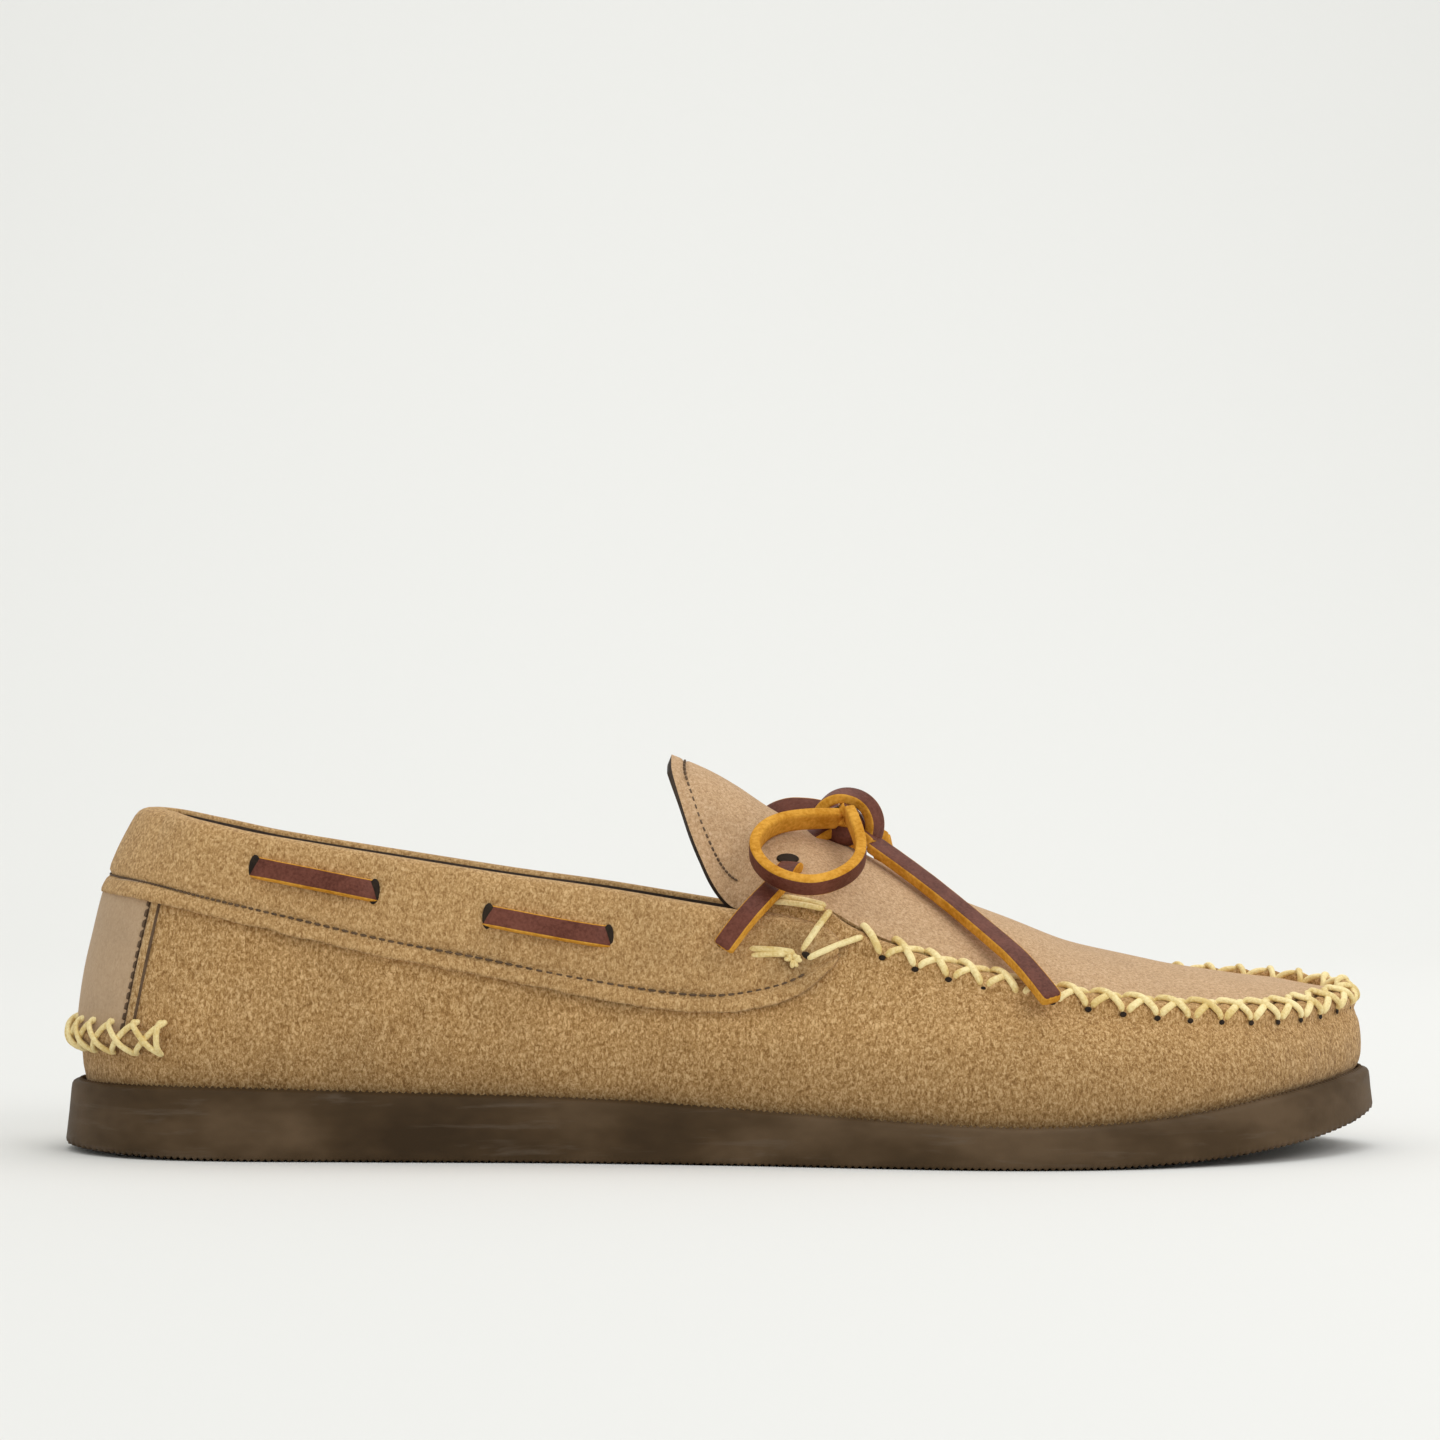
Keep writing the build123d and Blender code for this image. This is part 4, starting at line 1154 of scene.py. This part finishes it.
# ---------------------------------------------------------------- lace slots and needle holes
def make_holes():
    """Dark discs of painted shade in the openings: the collar's lace slots, the plug's lace slots and the
    seam's needle holes.
    """
    holes = Builder()

    def disc(centre, out, up, half_up, half_across):
        """Small oval on a surface that faces out."""
        out = out.normalized()
        across = up.cross(out).normalized()
        rise = out.cross(across)
        rings = []
        for size, depth in ((1.0, 0.0), (0.75, 0.10), (0.35, 0.16)):
            rings.append([centre + out * depth + rise * (math.sin(a) * half_up * size)
                          + across * (math.cos(a) * half_across * size)
                          for a in (2 * math.pi * s / 14 for s in range(14))])
        holes.loops(rings)

    def on_wall(column, z, height, half_up, half_across, lean=0.0):
        disc(column.wall(z, height), column.out, Vector((lean, 0, 1)), half_up, half_across)

    for side in (-1, 1):
        for x in [v for left, right in WINDOWS for v in (left + 0.9, right - 0.9)]:
            z = smooth(LACE_LINE, x)
            on_wall(column_at(x, side, z), z, COLLAR * 1.4, 2.9, 1.3, 0.1)
        on_wall(column_at(0.8, side, 47.0), 47.0, COLLAR * 1.2, 3.2, 1.5, 0.35)
        spot = Vector((15.2, side * 21.6, 0))
        spot.z = arch_height(spot.x, spot.y) + 0.15
        disc(spot, arch_normal(spot.x, spot.y), Vector((1, 0, 0.3)), 2.6, 1.7)
        for x, z in ((5.2, 46.4), (19.2, 45.4)):
            on_wall(column_at(x, side, z), z, COLLAR * 1.1, 1.1, 1.2)
    for i in range(STITCHES):
        column = seam_column((i + 0.74) * PITCH + 0.5)
        on_wall(column, vamp_top(column).z - SEAM_DROP - 0.4, 0.12, 0.6, 0.8)
    piece = holes.make("Stitch_and_lace_holes", [HOLE_SHADE])
    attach(piece, "shoe")


# ---------------------------------------------------------------- sole and footbed
def sole_half(side):
    """Table of the tread's half width on one side: x, and y a little inside the sole's edge."""
    line = sorted((c for c in RING if c.side == side), key=lambda c: c.x)
    return [c.x for c in line], [c.y * side - 0.6 for c in line]


def tread_height(x, wave=0.0):
    """Height of the siped tread; wave shifts the sipes along the shoe."""
    sipe = 0.5 + 0.5 * math.sin(2 * math.pi * (x + wave) / SIPE_PITCH)
    return max(smooth(TREAD, x), 0.0) + SIPE_DEPTH * sipe


# Side of the sole: what the height counts from, height over it, offset out, height of the teeth.
SOLE_SIDE = [
    ("low", 0.9, -3.0, 0), ("tread", 0, -0.9, 0), ("tread", 0.15, -0.15, 0), ("low", 1.0, 0.08, 0),
    ("low", 2.2, 0.05, 0), ("mid", 0, 0, 0), ("top", -2.2, 0.05, 0), ("top", -0.9, 0, 0),
    ("top", -0.35, -0.25, 0), ("top", -0.05, -0.7, 0), ("top", 0, -1.4, 0),
    ("top", 0, 0.7 - RIM_WIDTH, 0.55), ("top", -0.1, -RIM_WIDTH, 0.35),
    ("top", -RIM_HEIGHT, -RIM_WIDTH - 0.2, 0), ("top", -RIM_HEIGHT - 0.1, -9.0, 0),
]


def make_outsole():
    """Rubber sole: serrated rim against the upper, smooth side wall, siped tread."""
    steps = 2100
    circle = [Column(k / steps) for k in range(steps)]
    lengths = [0.0]
    for a, b in zip(circle, circle[1:]):
        lengths.append(lengths[-1] + math.hypot(b.x - a.x, b.y - a.y))
    teeth = round(lengths[-1] / RIM_TOOTH)
    rows = []
    for c, length in zip(circle, lengths):
        tooth = 0.5 + 0.5 * math.sin(2 * math.pi * teeth * length / lengths[-1])
        low = max(smooth(TREAD, c.x), 0.0)
        level = {"low": low, "tread": tread_height(c.x), "mid": (c.base + low) / 2, "top": c.base}
        row = []
        for start, up, out, bite in SOLE_SIDE:
            z = level[start] + up + bite * tooth
            row.append(c.sole(z, 1.0 - FLARE * z + out))
        rows.append(row)
    points = [row[r] for r in range(len(SOLE_SIDE)) for row in rows]
    faces = grid_faces(len(SOLE_SIDE), steps, closed=True)
    first = len(points)
    long_steps = 1200
    across = 24
    halves = [sole_half(-1), sole_half(1)]
    for i in range(long_steps + 1):
        x = -148.2 + 297.0 * i / long_steps
        low = -float(np.interp(x, *halves[0]))
        high = float(np.interp(x, *halves[1]))
        for j in range(across + 1):
            y = low + (high - low) * j / across
            points.append(Vector((x, y, tread_height(x, 1.6 * math.sin(2 * math.pi * y / 9.0)))))
    faces += grid_faces(long_steps + 1, across + 1, first=first)
    on_shoe(build_mesh("Outsole", points, faces, [RUBBER]), "outsole")


def make_footbed():
    """Cushioned sock: low in the middle, turned up a little at its edge."""
    steps = 160
    across = 28
    points = []
    edges = []
    for side in (-1, 1):
        line = sorted((c.wall(c.base + 4, -SUEDE - 0.5) for c in RING if c.side == side),
                      key=lambda p: p.x)
        edges.append(([p.x for p in line], [p.y for p in line]))
    start = max(xs[0] for xs, _ in edges) + 0.3
    stop = min(xs[-1] for xs, _ in edges) - 0.3
    for i in range(steps + 1):
        x = start + (stop - start) * (1 - math.cos(math.pi * i / steps)) / 2
        low, high = (float(np.interp(x, *edge)) for edge in edges)
        for j in range(across + 1):
            share = j / across
            y = low + (high - low) * share
            crown = 0.9 * abs(2 * share - 1) ** 3
            z = smooth(RIM_TOP, x) - RIM_HEIGHT + FOOTBED_LIFT + crown
            points.append((x, y, z + ripple(Vector((x, y, 0)), 30.0, 0.5)))
    bed = build_mesh("Footbed", points, grid_faces(steps + 1, across + 1), [SOCK])
    thick = bed.modifiers.new("thickness", "SOLIDIFY")
    thick.thickness = FOOTBED * MM
    thick.offset = -1
    on_shoe(bed, "footbed")

def dress_hidden_nodes():
    """Materials of the CAD nodes that stay: the hidden stiffener and the lace's hidden crossing."""
    for node, material in (("heel_counter", BOARD), ("lace_under_plug", GRAIN)):
        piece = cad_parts[node]
        piece.data.materials.clear()
        piece.data.materials.append(material)


# ---------------------------------------------------------------- floor and light
def make_studio():
    """Pale floor that fills the view, soft light from above and in front."""
    scene = bpy.context.scene
    floor_mesh = bpy.data.meshes.new("Floor")
    section = [(-FLOOR_HALF, 0.0), (SWEEP_START_Y, 0.0)]
    section += [(SWEEP_START_Y + SWEEP * math.sin(a), SWEEP * (1 - math.cos(a)))
                for a in (math.pi / 2 * k / 24 for k in range(1, 25))]
    section.append((SWEEP_START_Y + SWEEP, 5.0))
    points = [(x, y, z) for x in (-FLOOR_HALF, FLOOR_HALF) for y, z in section]
    n = len(section)
    floor_mesh.from_pydata(points, [], [(k, n + k, n + k + 1, k + 1) for k in range(n - 1)])
    floor_mesh.polygons.foreach_set("use_smooth", [True] * (n - 1))
    made = Nodes("floor_pale", 0.9)
    made.colour(made.ramp(made.noise(3.0, 2, 0.5), [(0.4, FLOOR_COLOUR), (0.6, FLOOR_COLOUR)]))
    made.shader.inputs["Specular IOR Level"].default_value = 0.1
    floor_mesh.materials.append(made.material)
    floor = bpy.data.objects.new("Floor", floor_mesh)
    scene.collection.objects.link(floor)
    world = bpy.data.worlds.new("World")
    world.use_nodes = True
    world.node_tree.nodes["Background"].inputs["Color"].default_value = (*BACKDROP, 1)
    world.node_tree.nodes["Background"].inputs["Strength"].default_value = WORLD_LIGHT
    scene.world = world
    for name, place, aim, power, width in LIGHTS:
        data = bpy.data.lights.new(name, "AREA")
        data.energy = power
        data.size = width
        light = bpy.data.objects.new(name, data)
        light.location = place
        light.rotation_euler = (Vector(aim) - Vector(place)).to_track_quat("-Z", "Y").to_euler()
        scene.collection.objects.link(light)
    scene.view_settings.view_transform = "Standard"


# ---------------------------------------------------------------- build and finish
make_camera()
make_free_lace()
make_knot()
make_collar_lace()
make_seam_threads()
make_heel_threads()
make_start_stitches()
make_vamp()
make_heel_seam()
make_heel_patch()
make_collar()
make_plug_and_tongue()
make_collar_stitching()
make_patch_stitching()
make_tongue_stitching()
make_holes()
make_outsole()
make_footbed()
dress_hidden_nodes()
make_studio()
